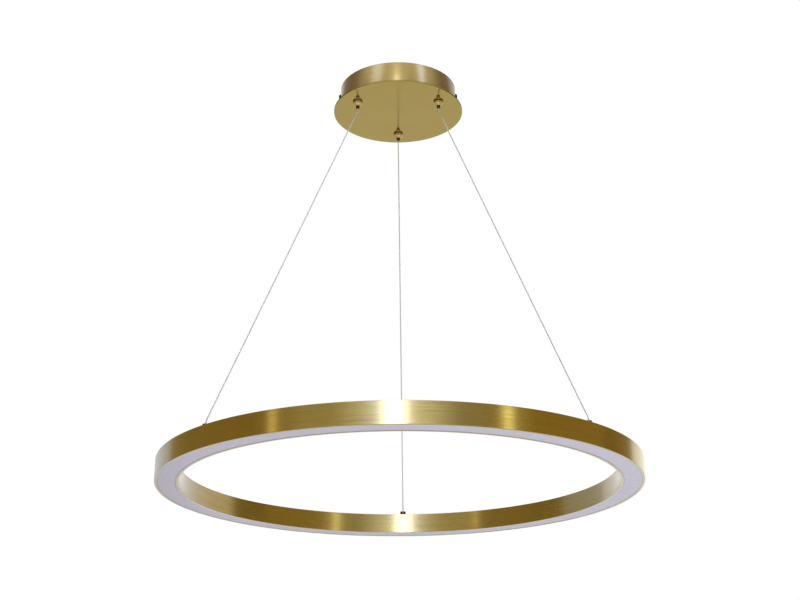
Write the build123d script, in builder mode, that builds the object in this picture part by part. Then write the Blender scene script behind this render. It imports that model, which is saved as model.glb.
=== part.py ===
from build123d import *
import os
from math import cos, hypot, radians, sin, tan

# LED ring chandelier. Millimetres, +Z up. The origin is the middle of the canopy on the
# ceiling plane, so the whole object hangs below z = 0. A shallow drum canopy with a wider
# polished plate under it holds three wire grippers. Three taut wires carry the lit ring.

# ---- overall ----
overall_h = 558.0            # ceiling to the underside of the ring

# ---- canopy: drum, plate and ceiling bracket ----
canopy_depth = 34.0          # ceiling to the underside of the plate
plate_overhang = 9.0         # plate beyond the drum
plate_t = 2.0
plate_edge_r = 0.6
drum_d = 157.2
drum_wall = 1.2
drum_floor_t = 1.2
drum_corner_r = 1.0

bracket_t = 2.0
bracket_w = 25.0
bracket_neck_l = 13.6        # narrow stretch at each end of the strap
ear_w = 16.0
ear_depth = 15.0
ear_gap = 0.8                # ear to the inside of the drum
bracket_bend_r = 3.0         # outside of the bend
ceiling_slot_spacing = 90.0
ceiling_slot_l = 22.0
ceiling_slot_w = 5.2
cable_hole_d = 12.0

# ---- side screws, M4 x 10, which hold the drum to the bracket ----
side_screw_z = -9.0
side_screw_d = 4.0
side_screw_l = 10.0
side_head_d = 7.6
side_head_h = 2.2
side_socket_af = 2.5
side_socket_deep = 1.3
side_washer_d = 8.0
side_washer_t = 0.8
side_washer_fit = 0.15       # radial, screw in its washer
seat_gap = 0.05              # between faces of pieces that move on each other
thread_fit = 0.05            # radial, screw in its thread
hole_fit = 0.3               # radial, screw in a plain hole
ear_nut_af = 7.0
ear_nut_t = 3.2

# ---- wire grippers ----
gripper_inset = 14.6         # gripper axis to the inside of the drum
wire_names = ("far", "left", "right")
far_angle = 90.0             # grippers follow evenly round the canopy from this one
wire_d = 1.5
wire_fit = 0.15              # radial, wire in every bore
flange_d = 13.0
flange_t = 2.5
nose_h = 3.0                 # cone below the flange
nose_step = 1.2              # flange beyond the top of the cone
nose_tip_wall = 0.85
tip_h = 3.7                  # what shows of the release tip
tip_edge_r = 0.6
running_fit = 0.05           # radial, release tip in its bore
shank_d = 8.0
shank_h = 15.0               # above the plate's underside
cage_top_h = 2.0
cage_step = 0.15             # shoulder on which the cage stops
cage_step_h = -3.0
cage_fit = 0.1               # radial, cage in the narrow end of the chamber
chamber_taper_h = 3.0        # height where the cone of the chamber ends
cone_below_seat = 0.12       # radius lost from the balls' seat to the narrow end
cone_above_seat = 0.23
ball_d = 2.0
ball_count = 3
ball_fit = 0.02
ball_window_fit = 0.06
spring_wire_d = 0.5
spring_mean_d = 3.7
spring_turns = 6
cap_t = 3.0
cap_fit = 0.05
bush_flange_t = 0.6
bush_wall = 0.95
bush_fit = 0.05
gripper_washer_d = 15.0
gripper_washer_t = 1.0
gripper_nut_af = 13.0
gripper_nut_t = 4.0

# ---- ring ----
ring_outer_d = 600.0
ring_width = 29.0
ring_height = 26.0
ring_wall = 1.6
ring_edge_r = 0.5
lip_w = 3.5
lip_t = 1.6
web_t = 1.6
cover_t = 2.0
cover_fit = 0.15
ledge_w = 1.5
ledge_t = 1.6
diffuser_recess = 0.3
diffuser_fit = 0.15
diffuser_flange_t = 1.6
diffuser_side_gap = 0.5
board_w = 14.0
board_t = 1.2
board_gap = 1.0
board_count = 3
chip_count = 120
chip_l = 3.5
chip_w = 2.8
chip_t = 0.7

# ---- posts on the ring, which take the lower ends of the wires ----
ring_turn = -0.9             # how far the ring hangs turned from the canopy
post_spread = 131.5          # angle from the far post to each near post
post_d = 8.0
post_h = 6.5                 # top of the post above the ring
post_edge_r = 0.6
post_roof_t = 2.5
post_shank_d = 6.0
post_shank_over = 0.4        # shank below its nut
post_bore_d = 4.0
collar_flange_t = 0.8
collar_flange_over = 0.8     # flange beyond the post
collar_wall = 0.95
block_l = 24.0
block_h = 6.0
block_corner_r = 1.0
block_fit = 0.7
post_nut_af = 10.0
post_nut_t = 4.6
post_nut_gap = 0.8           # nut to the web
crimp_fit = 0.1
crimp_l = 4.2
wire_stub = 4.0              # straight wire below a tip and above a post
wire_bend_r = 10.0

# ---- surplus wire, connectors and leads inside the canopy ----
tail_rise = 10.0             # tail above the gripper's shank
tail_bend_r = 5.0
tail_run = 22.0
ferrule_d = 3.4
ferrule_l = 9.0
ferrule_overlap = 4.0
lead_d = 2.0
lead_fit = 0.2
lead_bend_r = 3.0
lead_poke = 0.3              # end of a lead beyond the wall it enters
output_hole_x = 14.0
output_hole_h = 15.8         # above the drum's floor

# ---- LED driver ----
driver_l = 100.0
driver_w = 40.0
driver_h = 20.0
driver_wall = 1.6
driver_lid_t = 2.0
driver_lug_l = 9.0
driver_lug_w = 12.0
driver_lug_t = 3.0
driver_board_h = 4.0         # underside of the board above the case's floor
driver_board_t = 1.6
driver_board_gap = 1.2       # board to the walls
driver_post_d = 5.0
transformer_size = (24.0, 20.0, 8.0)
capacitor_d = 7.0
capacitor_l = 18.0
capacitor_gap = 5.2          # capacitor to transformer
inductor_d = 10.0
inductor_bore_d = 4.0
inductor_h = 7.0

# ---- terminal block, studs and earth ----
block_x = -23.0
block_gap = 8.0              # block to driver
terminal_l = 32.0
terminal_w = 16.0
terminal_h = 14.0
terminal_corner_r = 1.0
pole_pitch = 9.0
pole_count = 3
sleeve_d = 4.8
sleeve_bore_d = 3.0
sleeve_fit = 0.05
sleeve_inset = 1.0
clamp_screw_d = 2.6
clamp_screw_shaft_d = 3.8
clamp_screw_pitch = 8.0
clamp_screw_sink = 1.0
stud_d = 3.0
stud_over = 0.8              # stud above its nut
stud_nut_af = 5.5
stud_nut_t = 2.4
earth_x = -56.0
earth_gap = 3.0              # earth stud beyond the driver's side
tag_d = 6.4
tag_t = 0.8
tag_neck_l = 1.6             # ring of the tag to its barrel
tag_barrel_d = 3.2
tag_barrel_l = 4.0

# ---- derived sizes and heights ----
plate_z = -canopy_depth
floor_z = plate_z + plate_t
floor_top_z = floor_z + drum_floor_t
drum_r = drum_d / 2
drum_inner_r = drum_r - drum_wall
plate_r = drum_r + plate_overhang
ear_x = drum_inner_r - ear_gap
gripper_circle_r = drum_inner_r - gripper_inset
wire_bore_r = wire_d / 2 + wire_fit
ball_r = ball_d / 2
ball_path_r = wire_d / 2 + ball_fit + ball_r
ball_seat_r = ball_path_r + ball_r
chamber_low_r = ball_seat_r - cone_below_seat
chamber_r = ball_seat_r + cone_above_seat
cage_r = chamber_low_r - cage_fit
tip_r = cage_r - cage_step
tip_low_h = -(bush_flange_t + flange_t + nose_h + tip_h)
tip_z = plate_z + tip_low_h
nose_low_h = tip_low_h + tip_h
ring_z = -overall_h
ring_top_z = ring_z + ring_height
ring_r = ring_outer_d / 2
ring_mid_r = ring_r - ring_width / 2
cover_low = ring_height - cover_t
ledge_low = cover_low - ledge_t
post_nut_low = ledge_low - block_h - post_nut_t
web_top = post_nut_low - post_nut_gap
web_low = web_top - web_t
post_top_z = ring_top_z + post_h
shank_hole_d = shank_d + 2 * bush_fit
bush_sleeve_d = shank_hole_d + 2 * bush_wall
plate_hole_d = bush_sleeve_d + 2 * bush_fit
tail_z = plate_z + shank_h + tail_rise
driver_top_z = floor_top_z + driver_h
output_hole_z = floor_top_z + output_hole_h
pole_z = floor_top_z + terminal_h / 2
block_face_y = driver_w / 2 + block_gap
block_y = block_face_y + terminal_w / 2
earth_y = driver_w / 2 + earth_gap
collar_bore_r = post_shank_d / 2 + bush_fit
collar_sleeve_r = collar_bore_r + collar_wall
gripper_step = 360 / len(wire_names)
gripper_angles = {name: far_angle + gripper_step * n for n, name in enumerate(wire_names)}
far_post_angle = far_angle + ring_turn
post_angles = {
    "far": far_post_angle,
    "left": far_post_angle + post_spread,
    "right": far_post_angle - post_spread,
}

os.makedirs("parts", exist_ok=True)


def at(radius, angle, z=0.0):
    """Point at a radius and an angle about the chandelier's axis."""
    return Vector(radius * cos(radians(angle)), radius * sin(radians(angle)), z)


def keep(piece, label):
    """Name a finished piece and write it to its own file."""
    piece.part.label = label
    export_step(piece.part, f"parts/{label}.step")


def upright(origin):
    """Plane through origin whose x is a radius and whose y is the height."""
    return Plane(origin, x_dir=(1, 0, 0), z_dir=(0, -1, 0))


def turned(profile, origin):
    """Solid turned about the upright axis through origin, from (radius, height) points."""
    with BuildPart() as piece:
        with BuildSketch(upright(origin)):
            with BuildLine():
                Polyline(*profile, close=True)
            make_face()
        revolve(axis=Axis(origin, (0, 0, 1)))
    return piece


def hex_nuts(seats, across_flats, thickness, bore_d):
    """Upright hexagon nuts standing on their seats, as one group."""
    with BuildPart() as nuts:
        for seat in seats:
            with BuildSketch(Plane(seat)):
                RegularPolygon(across_flats / 2, 6, major_radius=False)
                Circle(bore_d / 2, mode=Mode.SUBTRACT)
            extrude(amount=thickness)
    return nuts


def tube(points, bend_radii, diameter):
    """Round tube along straight runs joined by tangent arcs."""
    with BuildPart() as piece:
        with BuildLine() as path:
            FilletPolyline(*points, radius=bend_radii)
        with BuildSketch(Plane(origin=path.line @ 0, z_dir=path.line % 0)):
            Circle(diameter / 2)
        sweep(path=path.line)
    return piece


# ================= canopy =================

stud_places = {
    "driver_a": (-(driver_l + driver_lug_l) / 2, 0.0, driver_lug_t),
    "driver_b": ((driver_l + driver_lug_l) / 2, 0.0, driver_lug_t),
    "terminal": (block_x - pole_pitch / 2, block_y, terminal_h),
    "earth": (earth_x, earth_y, tag_t),
}

# Strap pressed from sheet: two slots for ceiling screws, a hole for the mains cable,
# and an ear bent down at each end for the side screws.
with BuildPart() as ceiling_bracket:
    with BuildSketch(Plane.XZ) as bent_strap:
        with Locations((0, -ear_depth / 2)):
            Rectangle(2 * ear_x, ear_depth)
        with Locations((0, -(ear_depth + bracket_t) / 2)):
            Rectangle(2 * (ear_x - bracket_t), ear_depth - bracket_t, mode=Mode.SUBTRACT)
        inner_corners = bent_strap.vertices().filter_by(lambda v: abs(v.X) < ear_x - bracket_t / 2)
        fillet(inner_corners.group_by(Axis.Y)[-1], bracket_bend_r - bracket_t)
        fillet(bent_strap.vertices().group_by(Axis.Y)[-1], bracket_bend_r)
    extrude(amount=ear_w / 2, both=True)
    with BuildSketch(Plane.XY.offset(-bracket_t)):
        RectangleRounded(2 * (ear_x - bracket_neck_l), bracket_w, (bracket_w - ear_w) / 2)
    extrude(amount=bracket_t)
    with BuildSketch():
        with GridLocations(ceiling_slot_spacing, 0, 2, 1):
            SlotOverall(ceiling_slot_l, ceiling_slot_w)
        Circle(cable_hole_d / 2)
    extrude(amount=-bracket_t, mode=Mode.SUBTRACT)
    with BuildSketch(Plane.YZ):
        with Locations((0, side_screw_z)):
            Circle(side_screw_d / 2 + thread_fit)
    extrude(amount=drum_r, both=True, mode=Mode.SUBTRACT)
keep(ceiling_bracket, "ceiling_bracket")

# Nuts pressed into the inner faces of the ears.
with BuildPart() as bracket_nuts:
    for side in (-1, 1):
        with BuildSketch(Plane((side * (ear_x - bracket_t), 0, side_screw_z), z_dir=(-side, 0, 0))):
            RegularPolygon(ear_nut_af / 2, 6, major_radius=False)
            Circle(side_screw_d / 2 + thread_fit, mode=Mode.SUBTRACT)
        extrude(amount=ear_nut_t)
keep(bracket_nuts, "bracket_nuts")

# Deep-drawn drum, open to the ceiling, with welded studs on its floor.
with BuildPart() as canopy_drum:
    with BuildSketch(Plane.XY.offset(floor_z)):
        Circle(drum_r)
    extrude(amount=-floor_z)
    fillet(canopy_drum.edges().filter_by(GeomType.CIRCLE).group_by(Axis.Z)[0], drum_corner_r)
    with BuildSketch(Plane.XY.offset(floor_top_z)):
        Circle(drum_inner_r)
    extrude(amount=-floor_top_z, mode=Mode.SUBTRACT)
    with BuildSketch(Plane.XY.offset(floor_z)):
        for angle in gripper_angles.values():
            with Locations(at(gripper_circle_r, angle)):
                Circle(plate_hole_d / 2)
    extrude(amount=drum_floor_t, mode=Mode.SUBTRACT)
    with BuildSketch(Plane.YZ):
        with Locations((0, side_screw_z)):
            Circle(side_screw_d / 2 + hole_fit)
    extrude(amount=drum_r, both=True, mode=Mode.SUBTRACT)
    for x, y, clamped in stud_places.values():
        with BuildSketch(Plane((x, y, floor_top_z))):
            Circle(stud_d / 2)
        extrude(amount=clamped + stud_nut_t + stud_over)
keep(canopy_drum, "canopy_drum")

# Polished cover plate, wider than the drum.
with BuildPart() as canopy_plate:
    with BuildSketch(Plane.XY.offset(plate_z)):
        Circle(plate_r)
    extrude(amount=plate_t)
    fillet(canopy_plate.edges().filter_by(GeomType.CIRCLE), plate_edge_r)
    with BuildSketch(Plane.XY.offset(plate_z)):
        for angle in gripper_angles.values():
            with Locations(at(gripper_circle_r, angle)):
                Circle(plate_hole_d / 2)
    extrude(amount=plate_t, mode=Mode.SUBTRACT)
keep(canopy_plate, "canopy_plate")

# Side screws with low round heads and a hexagon socket, and the washers under the heads.
head_x = drum_r + seat_gap + side_washer_t + seat_gap
for name, side in (("left", -1), ("right", 1)):
    screw_r = side_screw_d / 2
    with BuildPart() as side_screw:
        with BuildSketch(Plane((0, 0, side_screw_z), x_dir=(0, 0, 1), z_dir=(0, side, 0))):
            with BuildLine():
                shank_end = Line((0, head_x - side_screw_l), (screw_r, head_x - side_screw_l))
                shank_side = Line(shank_end @ 1, (screw_r, head_x))
                head_under = Line(shank_side @ 1, (side_head_d / 2, head_x))
                dome = TangentArc((0, head_x + side_head_h), head_under @ 1, tangent=(1, 0))
                Line(dome @ 0, shank_end @ 0)
            make_face()
        revolve(axis=Axis((0, 0, side_screw_z), (side, 0, 0)))
        socket_plane = Plane((side * (head_x + side_head_h), 0, side_screw_z), z_dir=(side, 0, 0))
        with BuildSketch(socket_plane):
            RegularPolygon(side_socket_af / 2, 6, major_radius=False)
        extrude(amount=-side_socket_deep, mode=Mode.SUBTRACT)
    keep(side_screw, f"side_screw_{name}")

    with BuildPart() as side_washer:
        with BuildSketch(Plane((side * (drum_r + seat_gap), 0, side_screw_z), z_dir=(side, 0, 0))):
            Circle(side_washer_d / 2)
            Circle(screw_r + side_washer_fit, mode=Mode.SUBTRACT)
        extrude(amount=side_washer_t)
    keep(side_washer, f"side_washer_{name}")

# ================= LED driver, terminal block and earth =================

driver_floor_z = floor_top_z + driver_wall
board_z = driver_floor_z + driver_board_h
inner_l = driver_l - 2 * driver_wall
inner_w = driver_w - 2 * driver_wall
input_xs = [block_x + pole_pitch * (n - (pole_count - 1) / 2) for n in range(pole_count)]
jog = pole_pitch / 2         # sideways step of an input lead between block and driver

with BuildPart() as driver_case:
    with BuildSketch(Plane.XY.offset(floor_top_z)):
        RectangleRounded(driver_l, driver_w, driver_wall)
    extrude(amount=driver_h - driver_lid_t)
    with BuildSketch(Plane.XY.offset(driver_floor_z)):
        Rectangle(inner_l, inner_w)
    extrude(amount=driver_h, mode=Mode.SUBTRACT)
    with BuildSketch(Plane.XY.offset(driver_floor_z)):
        with GridLocations(inner_l - 2 * driver_post_d, inner_w - 2 * driver_post_d, 2, 2):
            Circle(driver_post_d / 2)
    extrude(amount=driver_board_h)
    with BuildSketch(Plane.XY.offset(floor_top_z)):
        with GridLocations(driver_l + driver_lug_l, 0, 2, 1):
            Rectangle(driver_lug_l, driver_lug_w)
            Circle(stud_d / 2 + hole_fit, mode=Mode.SUBTRACT)
    extrude(amount=driver_lug_t)
    with BuildSketch(Plane.XZ.offset(-driver_w / 2)):
        for x in input_xs[1:]:
            with Locations((x + jog, pole_z)):
                Circle(lead_d / 2 + lead_fit)
    extrude(amount=driver_wall, mode=Mode.SUBTRACT)
    with BuildSketch(Plane.XZ.offset(driver_w / 2)):
        with GridLocations(2 * output_hole_x, 0, 2, 1):
            with Locations((0, output_hole_z)):
                Circle(lead_d / 2 + lead_fit)
    extrude(amount=-driver_wall, mode=Mode.SUBTRACT)
keep(driver_case, "driver_case")

with BuildPart() as driver_lid:
    with BuildSketch(Plane.XY.offset(driver_top_z - driver_lid_t)):
        RectangleRounded(driver_l, driver_w, driver_wall)
    extrude(amount=driver_lid_t)
keep(driver_lid, "driver_lid")

with BuildPart() as driver_board:
    with BuildSketch(Plane.XY.offset(board_z)):
        Rectangle(inner_l - 2 * driver_board_gap, inner_w - 2 * driver_board_gap)
    extrude(amount=driver_board_t)
keep(driver_board, "driver_board")

# Transformer, capacitors and inductor standing on the board.
with BuildPart() as driver_components:
    component_z = board_z + driver_board_t
    with BuildSketch(Plane.XY.offset(component_z)):
        Rectangle(transformer_size[0], transformer_size[1])
    extrude(amount=transformer_size[2])
    capacitor_x = transformer_size[0] / 2 + capacitor_gap
    for side in (-1, 1):
        capacitor_end = (side * capacitor_x, 0, component_z + capacitor_d / 2)
        with BuildSketch(Plane(capacitor_end, x_dir=(0, 1, 0), z_dir=(side, 0, 0))):
            Circle(capacitor_d / 2)
        extrude(amount=capacitor_l)
    with BuildSketch(Plane.XY.offset(component_z)):
        with Locations((driver_l / 2 - inductor_d, inductor_d)):
            Circle(inductor_d / 2)
            Circle(inductor_bore_d / 2, mode=Mode.SUBTRACT)
    extrude(amount=inductor_h)
keep(driver_components, "driver_components")

clamp_ys = [block_y - clamp_screw_pitch / 2, block_y + clamp_screw_pitch / 2]
terminal_top_z = floor_top_z + terminal_h
with BuildPart() as terminal_block:
    with BuildSketch(Plane((block_x, block_y, floor_top_z))):
        RectangleRounded(terminal_l, terminal_w, terminal_corner_r)
    extrude(amount=terminal_h)
    with BuildSketch(Plane.XZ):
        for x in input_xs:
            with Locations((x, pole_z)):
                Circle(sleeve_d / 2 + sleeve_fit)
    extrude(amount=-2 * block_y, mode=Mode.SUBTRACT)
    with BuildSketch(Plane.XY.offset(pole_z)):
        for x in input_xs:
            for y in clamp_ys:
                with Locations((x, y)):
                    Circle(clamp_screw_shaft_d / 2)
    extrude(amount=terminal_h, mode=Mode.SUBTRACT)
    with BuildSketch(Plane((stud_places["terminal"][0], block_y, floor_top_z))):
        Circle(stud_d / 2 + thread_fit)
    extrude(amount=terminal_h, mode=Mode.SUBTRACT)
keep(terminal_block, "terminal_block")

with BuildPart() as terminal_sleeves:
    sleeve_y = block_y - terminal_w / 2 + sleeve_inset
    with BuildSketch(Plane.XZ.offset(-sleeve_y)):
        for x in input_xs:
            with Locations((x, pole_z)):
                Circle(sleeve_d / 2)
                Circle(sleeve_bore_d / 2, mode=Mode.SUBTRACT)
    extrude(amount=-(terminal_w - 2 * sleeve_inset))
    with BuildSketch(Plane.XY.offset(pole_z)):
        for x in input_xs:
            for y in clamp_ys:
                with Locations((x, y)):
                    Circle(clamp_screw_d / 2 + thread_fit)
    extrude(amount=sleeve_d, mode=Mode.SUBTRACT)
keep(terminal_sleeves, "terminal_sleeves")

with BuildPart() as terminal_screws:
    with BuildSketch(Plane.XY.offset(terminal_top_z - clamp_screw_sink)):
        for x in input_xs:
            for y in clamp_ys:
                with Locations((x, y)):
                    Circle(clamp_screw_d / 2)
    extrude(amount=-(terminal_h / 2 - clamp_screw_sink - sleeve_bore_d / 4))
keep(terminal_screws, "terminal_screws")

# Ring tag on the earth stud, with the barrel that is crimped on the earth lead.
barrel_z = floor_top_z + tag_barrel_d / 2
barrel_x = earth_x + tag_d / 2 + tag_neck_l
tag_bore_d = stud_d + 2 * thread_fit
with BuildPart() as earth_tag:
    with BuildSketch(Plane((earth_x, earth_y, floor_top_z))):
        Circle(tag_d / 2)
        with Locations(((tag_d / 2 + tag_neck_l) / 2, 0)):
            Rectangle(tag_d / 2 + tag_neck_l, tag_barrel_d)
        Circle(tag_bore_d / 2, mode=Mode.SUBTRACT)
    extrude(amount=tag_t)
    with BuildSketch(Plane((barrel_x, earth_y, barrel_z), z_dir=(1, 0, 0))):
        Circle(tag_barrel_d / 2)
    extrude(amount=tag_barrel_l)
    with BuildSketch(Plane((barrel_x, earth_y, barrel_z), z_dir=(1, 0, 0))):
        Circle(lead_d / 2 + thread_fit)
    extrude(amount=tag_barrel_l, mode=Mode.SUBTRACT)
keep(earth_tag, "earth_tag")

# Nuts on the four welded studs.
stud_seats = [(x, y, floor_top_z + clamped) for x, y, clamped in stud_places.values()]
stud_nuts = hex_nuts(stud_seats, stud_nut_af, stud_nut_t, stud_d + 2 * thread_fit)
keep(stud_nuts, "stud_nuts")

# Line and neutral leads from the terminal block into the driver, and the earth lead.
driver_face_y = driver_w / 2
lead_start_y = block_face_y + 2 * sleeve_inset
lead_end_y = driver_face_y - driver_wall - lead_poke
with BuildPart() as input_leads:
    for x in input_xs[1:]:
        add(tube(
            [
                (x, lead_start_y, pole_z),
                (x, block_face_y - block_gap / 3, pole_z),
                (x + jog, driver_face_y + block_gap / 3, pole_z),
                (x + jog, lead_end_y, pole_z),
            ],
            [lead_bend_r, lead_bend_r],
            lead_d,
        ).part)
keep(input_leads, "input_leads")

barrel_mouth_x = barrel_x + tag_barrel_l
earth_lead = tube(
    [
        (input_xs[0], lead_start_y, pole_z),
        (input_xs[0], earth_y + lead_d, pole_z),
        (input_xs[0] - 3 * lead_d, earth_y, pole_z - lead_d),
        (barrel_mouth_x + 2 * lead_d, earth_y, barrel_z),
        (barrel_mouth_x - tag_barrel_l / 2, earth_y, barrel_z),
    ],
    [lead_bend_r] * 3,
    lead_d,
)
keep(earth_lead, "earth_lead")

# ================= wire grippers =================

shank_r = shank_d / 2
tip_bore_r = tip_r + running_fit
nose_high_h = nose_low_h + nose_h
cap_low_h = shank_h - cap_t
cone_slope = (cone_below_seat + cone_above_seat) / (chamber_taper_h - cage_step_h)
ball_h = cage_step_h + (
    (ball_r + ball_fit) * hypot(1, cone_slope) - chamber_low_r + ball_path_r
) / cone_slope
gripper_places = {name: at(gripper_circle_r, angle, plate_z) for name, angle in gripper_angles.items()}

for name, place in gripper_places.items():
    # Body: flange and cone below the plate, threaded shank through it, conical chamber inside.
    gripper_body = turned(
        [
            (tip_bore_r, nose_low_h),
            (tip_bore_r + nose_tip_wall, nose_low_h),
            (flange_d / 2 - nose_step, nose_high_h),
            (flange_d / 2, nose_high_h),
            (flange_d / 2, -bush_flange_t),
            (shank_r, -bush_flange_t),
            (shank_r, shank_h),
            (chamber_r, shank_h),
            (chamber_r, chamber_taper_h),
            (chamber_low_r, cage_step_h),
            (tip_bore_r, cage_step_h),
        ],
        place,
    )
    keep(gripper_body, f"gripper_{name}_body")

    # Release tip: the end of the ball cage, with a window for each ball.
    with BuildPart() as release_tip:
        with BuildSketch(upright(place)) as half:
            with BuildLine():
                Polyline(
                    (wire_bore_r, tip_low_h),
                    (tip_r, tip_low_h),
                    (tip_r, cage_step_h + seat_gap),
                    (cage_r, cage_step_h + seat_gap),
                    (cage_r, cage_top_h),
                    (wire_bore_r, cage_top_h),
                    close=True,
                )
            make_face()
            fillet(half.vertices().group_by(Axis.Y)[0].sort_by(Axis.X)[-1], tip_edge_r)
        revolve(axis=Axis(place, (0, 0, 1)))
        for n in range(ball_count):
            window = Plane(place + Vector(0, 0, ball_h), z_dir=at(1, n * 360 / ball_count))
            with BuildSketch(window):
                Circle(ball_r + ball_window_fit)
            extrude(amount=2 * cage_r, mode=Mode.SUBTRACT)
    keep(release_tip, f"gripper_{name}_release_tip")

    with BuildPart() as balls:
        with Locations(Plane(place + Vector(0, 0, ball_h))):
            with PolarLocations(ball_path_r, ball_count):
                Sphere(ball_r)
    keep(balls, f"gripper_{name}_balls")

    # Coil spring between the cage and the cap.
    spring_low = plate_z + cage_top_h + spring_wire_d / 2 + seat_gap
    spring_high = plate_z + cap_low_h - spring_wire_d / 2 - seat_gap
    spring_h = spring_high - spring_low
    with BuildPart() as spring:
        with BuildLine() as coil:
            Helix(spring_h / spring_turns, spring_h, spring_mean_d / 2, center=(place.X, place.Y, spring_low))
        with BuildSketch(Plane(origin=coil.line @ 0, z_dir=coil.line % 0)):
            Circle(spring_wire_d / 2)
        sweep(path=coil.line, is_frenet=True)
    keep(spring, f"gripper_{name}_spring")

# Insulating bushes round the shanks, washers above them, and the nuts that clamp it all.
sheet_top_h = plate_t + drum_floor_t
with BuildPart() as gripper_bushes:
    for place in gripper_places.values():
        add(turned(
            [
                (shank_hole_d / 2, -bush_flange_t),
                (flange_d / 2, -bush_flange_t),
                (flange_d / 2, 0),
                (bush_sleeve_d / 2, 0),
                (bush_sleeve_d / 2, sheet_top_h),
                (shank_hole_d / 2, sheet_top_h),
            ],
            place,
        ).part)
keep(gripper_bushes, "gripper_bushes")

with BuildPart() as gripper_washers:
    for place in gripper_places.values():
        with BuildSketch(Plane(place + Vector(0, 0, sheet_top_h))):
            Circle(gripper_washer_d / 2)
            Circle(shank_hole_d / 2, mode=Mode.SUBTRACT)
        extrude(amount=gripper_washer_t)
keep(gripper_washers, "gripper_washers")

nut_seats = [place + Vector(0, 0, sheet_top_h + gripper_washer_t) for place in gripper_places.values()]
gripper_nuts = hex_nuts(nut_seats, gripper_nut_af, gripper_nut_t, shank_hole_d)
keep(gripper_nuts, "gripper_nuts")

with BuildPart() as gripper_caps:
    for place in gripper_places.values():
        with BuildSketch(Plane(place + Vector(0, 0, cap_low_h))):
            Circle(chamber_r - cap_fit)
            Circle(wire_bore_r, mode=Mode.SUBTRACT)
        extrude(amount=cap_t)
keep(gripper_caps, "gripper_caps")

# ================= suspension wires =================

post_places = {name: at(ring_mid_r, angle, ring_top_z) for name, angle in post_angles.items()}
crimp_top_z = post_top_z - post_roof_t - seat_gap
for name, place in gripper_places.items():
    mouth = Vector(place.X, place.Y, tip_z)
    post = post_places[name]
    upper_bend = mouth - Vector(0, 0, wire_stub)
    lower_bend = Vector(post.X, post.Y, post_top_z + wire_stub)
    wire_end = Vector(post.X, post.Y, crimp_top_z - crimp_l)
    wire = tube([mouth, upper_bend, lower_bend, wire_end], [wire_bend_r] * 2, wire_d)
    keep(wire, f"wire_{name}")
    slope = (lower_bend - upper_bend).get_angle(Vector(0, 0, -1))
    arc_cut = 2 * wire_bend_r * (2 * tan(radians(slope / 2)) - radians(slope))
    run = wire_stub + (lower_bend - upper_bend).length + (lower_bend - wire_end).length
    print(f"wire_{name}: {run - arc_cut:.1f} long, slope {slope:.1f}, bend radius {wire_bend_r}")

    # The same wire above the tip: up through the gripper and over into the canopy.
    sideways = Vector(-1 if place.X > 0 else 1, 0, 0)
    corner = Vector(place.X, place.Y, tail_z)
    tail = tube([mouth, corner, corner + sideways * tail_run], [tail_bend_r], wire_d)
    keep(tail, f"wire_tail_{name}")

# Crimp connectors on the tails, and the two output leads from them into the driver.
with BuildPart() as wire_ferrules:
    for place in gripper_places.values():
        side = -1 if place.X > 0 else 1
        ferrule_x = place.X + side * (tail_run - ferrule_overlap)
        with BuildSketch(Plane((ferrule_x, place.Y, tail_z), z_dir=(side, 0, 0))):
            Circle(ferrule_d / 2)
            Circle(lead_d / 2 + thread_fit, mode=Mode.SUBTRACT)
        extrude(amount=ferrule_l)
keep(wire_ferrules, "wire_ferrules")

with BuildPart() as output_leads:
    for name in ("left", "right"):
        place = gripper_places[name]
        side = -1 if place.X > 0 else 1
        lead_x = place.X + side * (tail_run + seat_gap)
        mouth_x = place.X + side * (tail_run - ferrule_overlap + ferrule_l)
        add(tube(
            [
                (lead_x, place.Y, tail_z),
                (mouth_x + side * lead_d, place.Y, tail_z),
                (-side * output_hole_x, place.Y + 2 * lead_d, output_hole_z),
                (-side * output_hole_x, -lead_end_y, output_hole_z),
            ],
            [lead_bend_r, lead_bend_r],
            lead_d,
        ).part)
keep(output_leads, "output_leads")

# ================= ring =================

ring_plane = upright((0, 0, ring_z))


def ring_band(inset, low, high, mode=Mode.ADD):
    """Rectangle across the ring's section, inset alike from its two side faces."""
    with Locations((ring_mid_r, (low + high) / 2)):
        Rectangle(ring_width - 2 * inset, high - low, mode=mode)


def beside(place, along, height):
    """Point beside a post: so far along the ring and so high above the ring's underside."""
    tangent = Vector(-place.Y, place.X, 0).normalized()
    return Vector(place.X, place.Y, ring_z + height) + tangent * along


# Rolled channel: two walls, a web between them, lips that hold the diffuser and ledges
# under the cover.
lead_drop = block_l / 2 + lead_d
with BuildPart() as ring_channel:
    with BuildSketch(ring_plane) as section:
        ring_band(0, 0, ring_height)
        fillet(section.vertices(), ring_edge_r)
        ring_band(ring_wall, cover_low, ring_height, Mode.SUBTRACT)
        ring_band(ring_wall + ledge_w, ledge_low, cover_low, Mode.SUBTRACT)
        ring_band(ring_wall, web_top, ledge_low, Mode.SUBTRACT)
        ring_band(ring_wall, lip_t, web_low, Mode.SUBTRACT)
        ring_band(lip_w, 0, lip_t, Mode.SUBTRACT)
    revolve(axis=Axis.Z)
    for name in ("left", "right"):
        with BuildSketch(Plane(beside(post_places[name], lead_drop, web_low))):
            Circle(lead_d / 2 + lead_fit)
        extrude(amount=web_t, mode=Mode.SUBTRACT)
keep(ring_channel, "ring_channel")

# Flush strip that closes the channel's top.
with BuildPart() as ring_cover:
    with BuildSketch(ring_plane):
        ring_band(ring_wall + cover_fit, cover_low, ring_height)
    revolve(axis=Axis.Z)
    with BuildSketch(Plane.XY.offset(ring_z + cover_low)):
        for place in post_places.values():
            with Locations((place.X, place.Y)):
                Circle(collar_sleeve_r + bush_fit)
    extrude(amount=cover_t, mode=Mode.SUBTRACT)
keep(ring_cover, "ring_cover")

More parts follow.
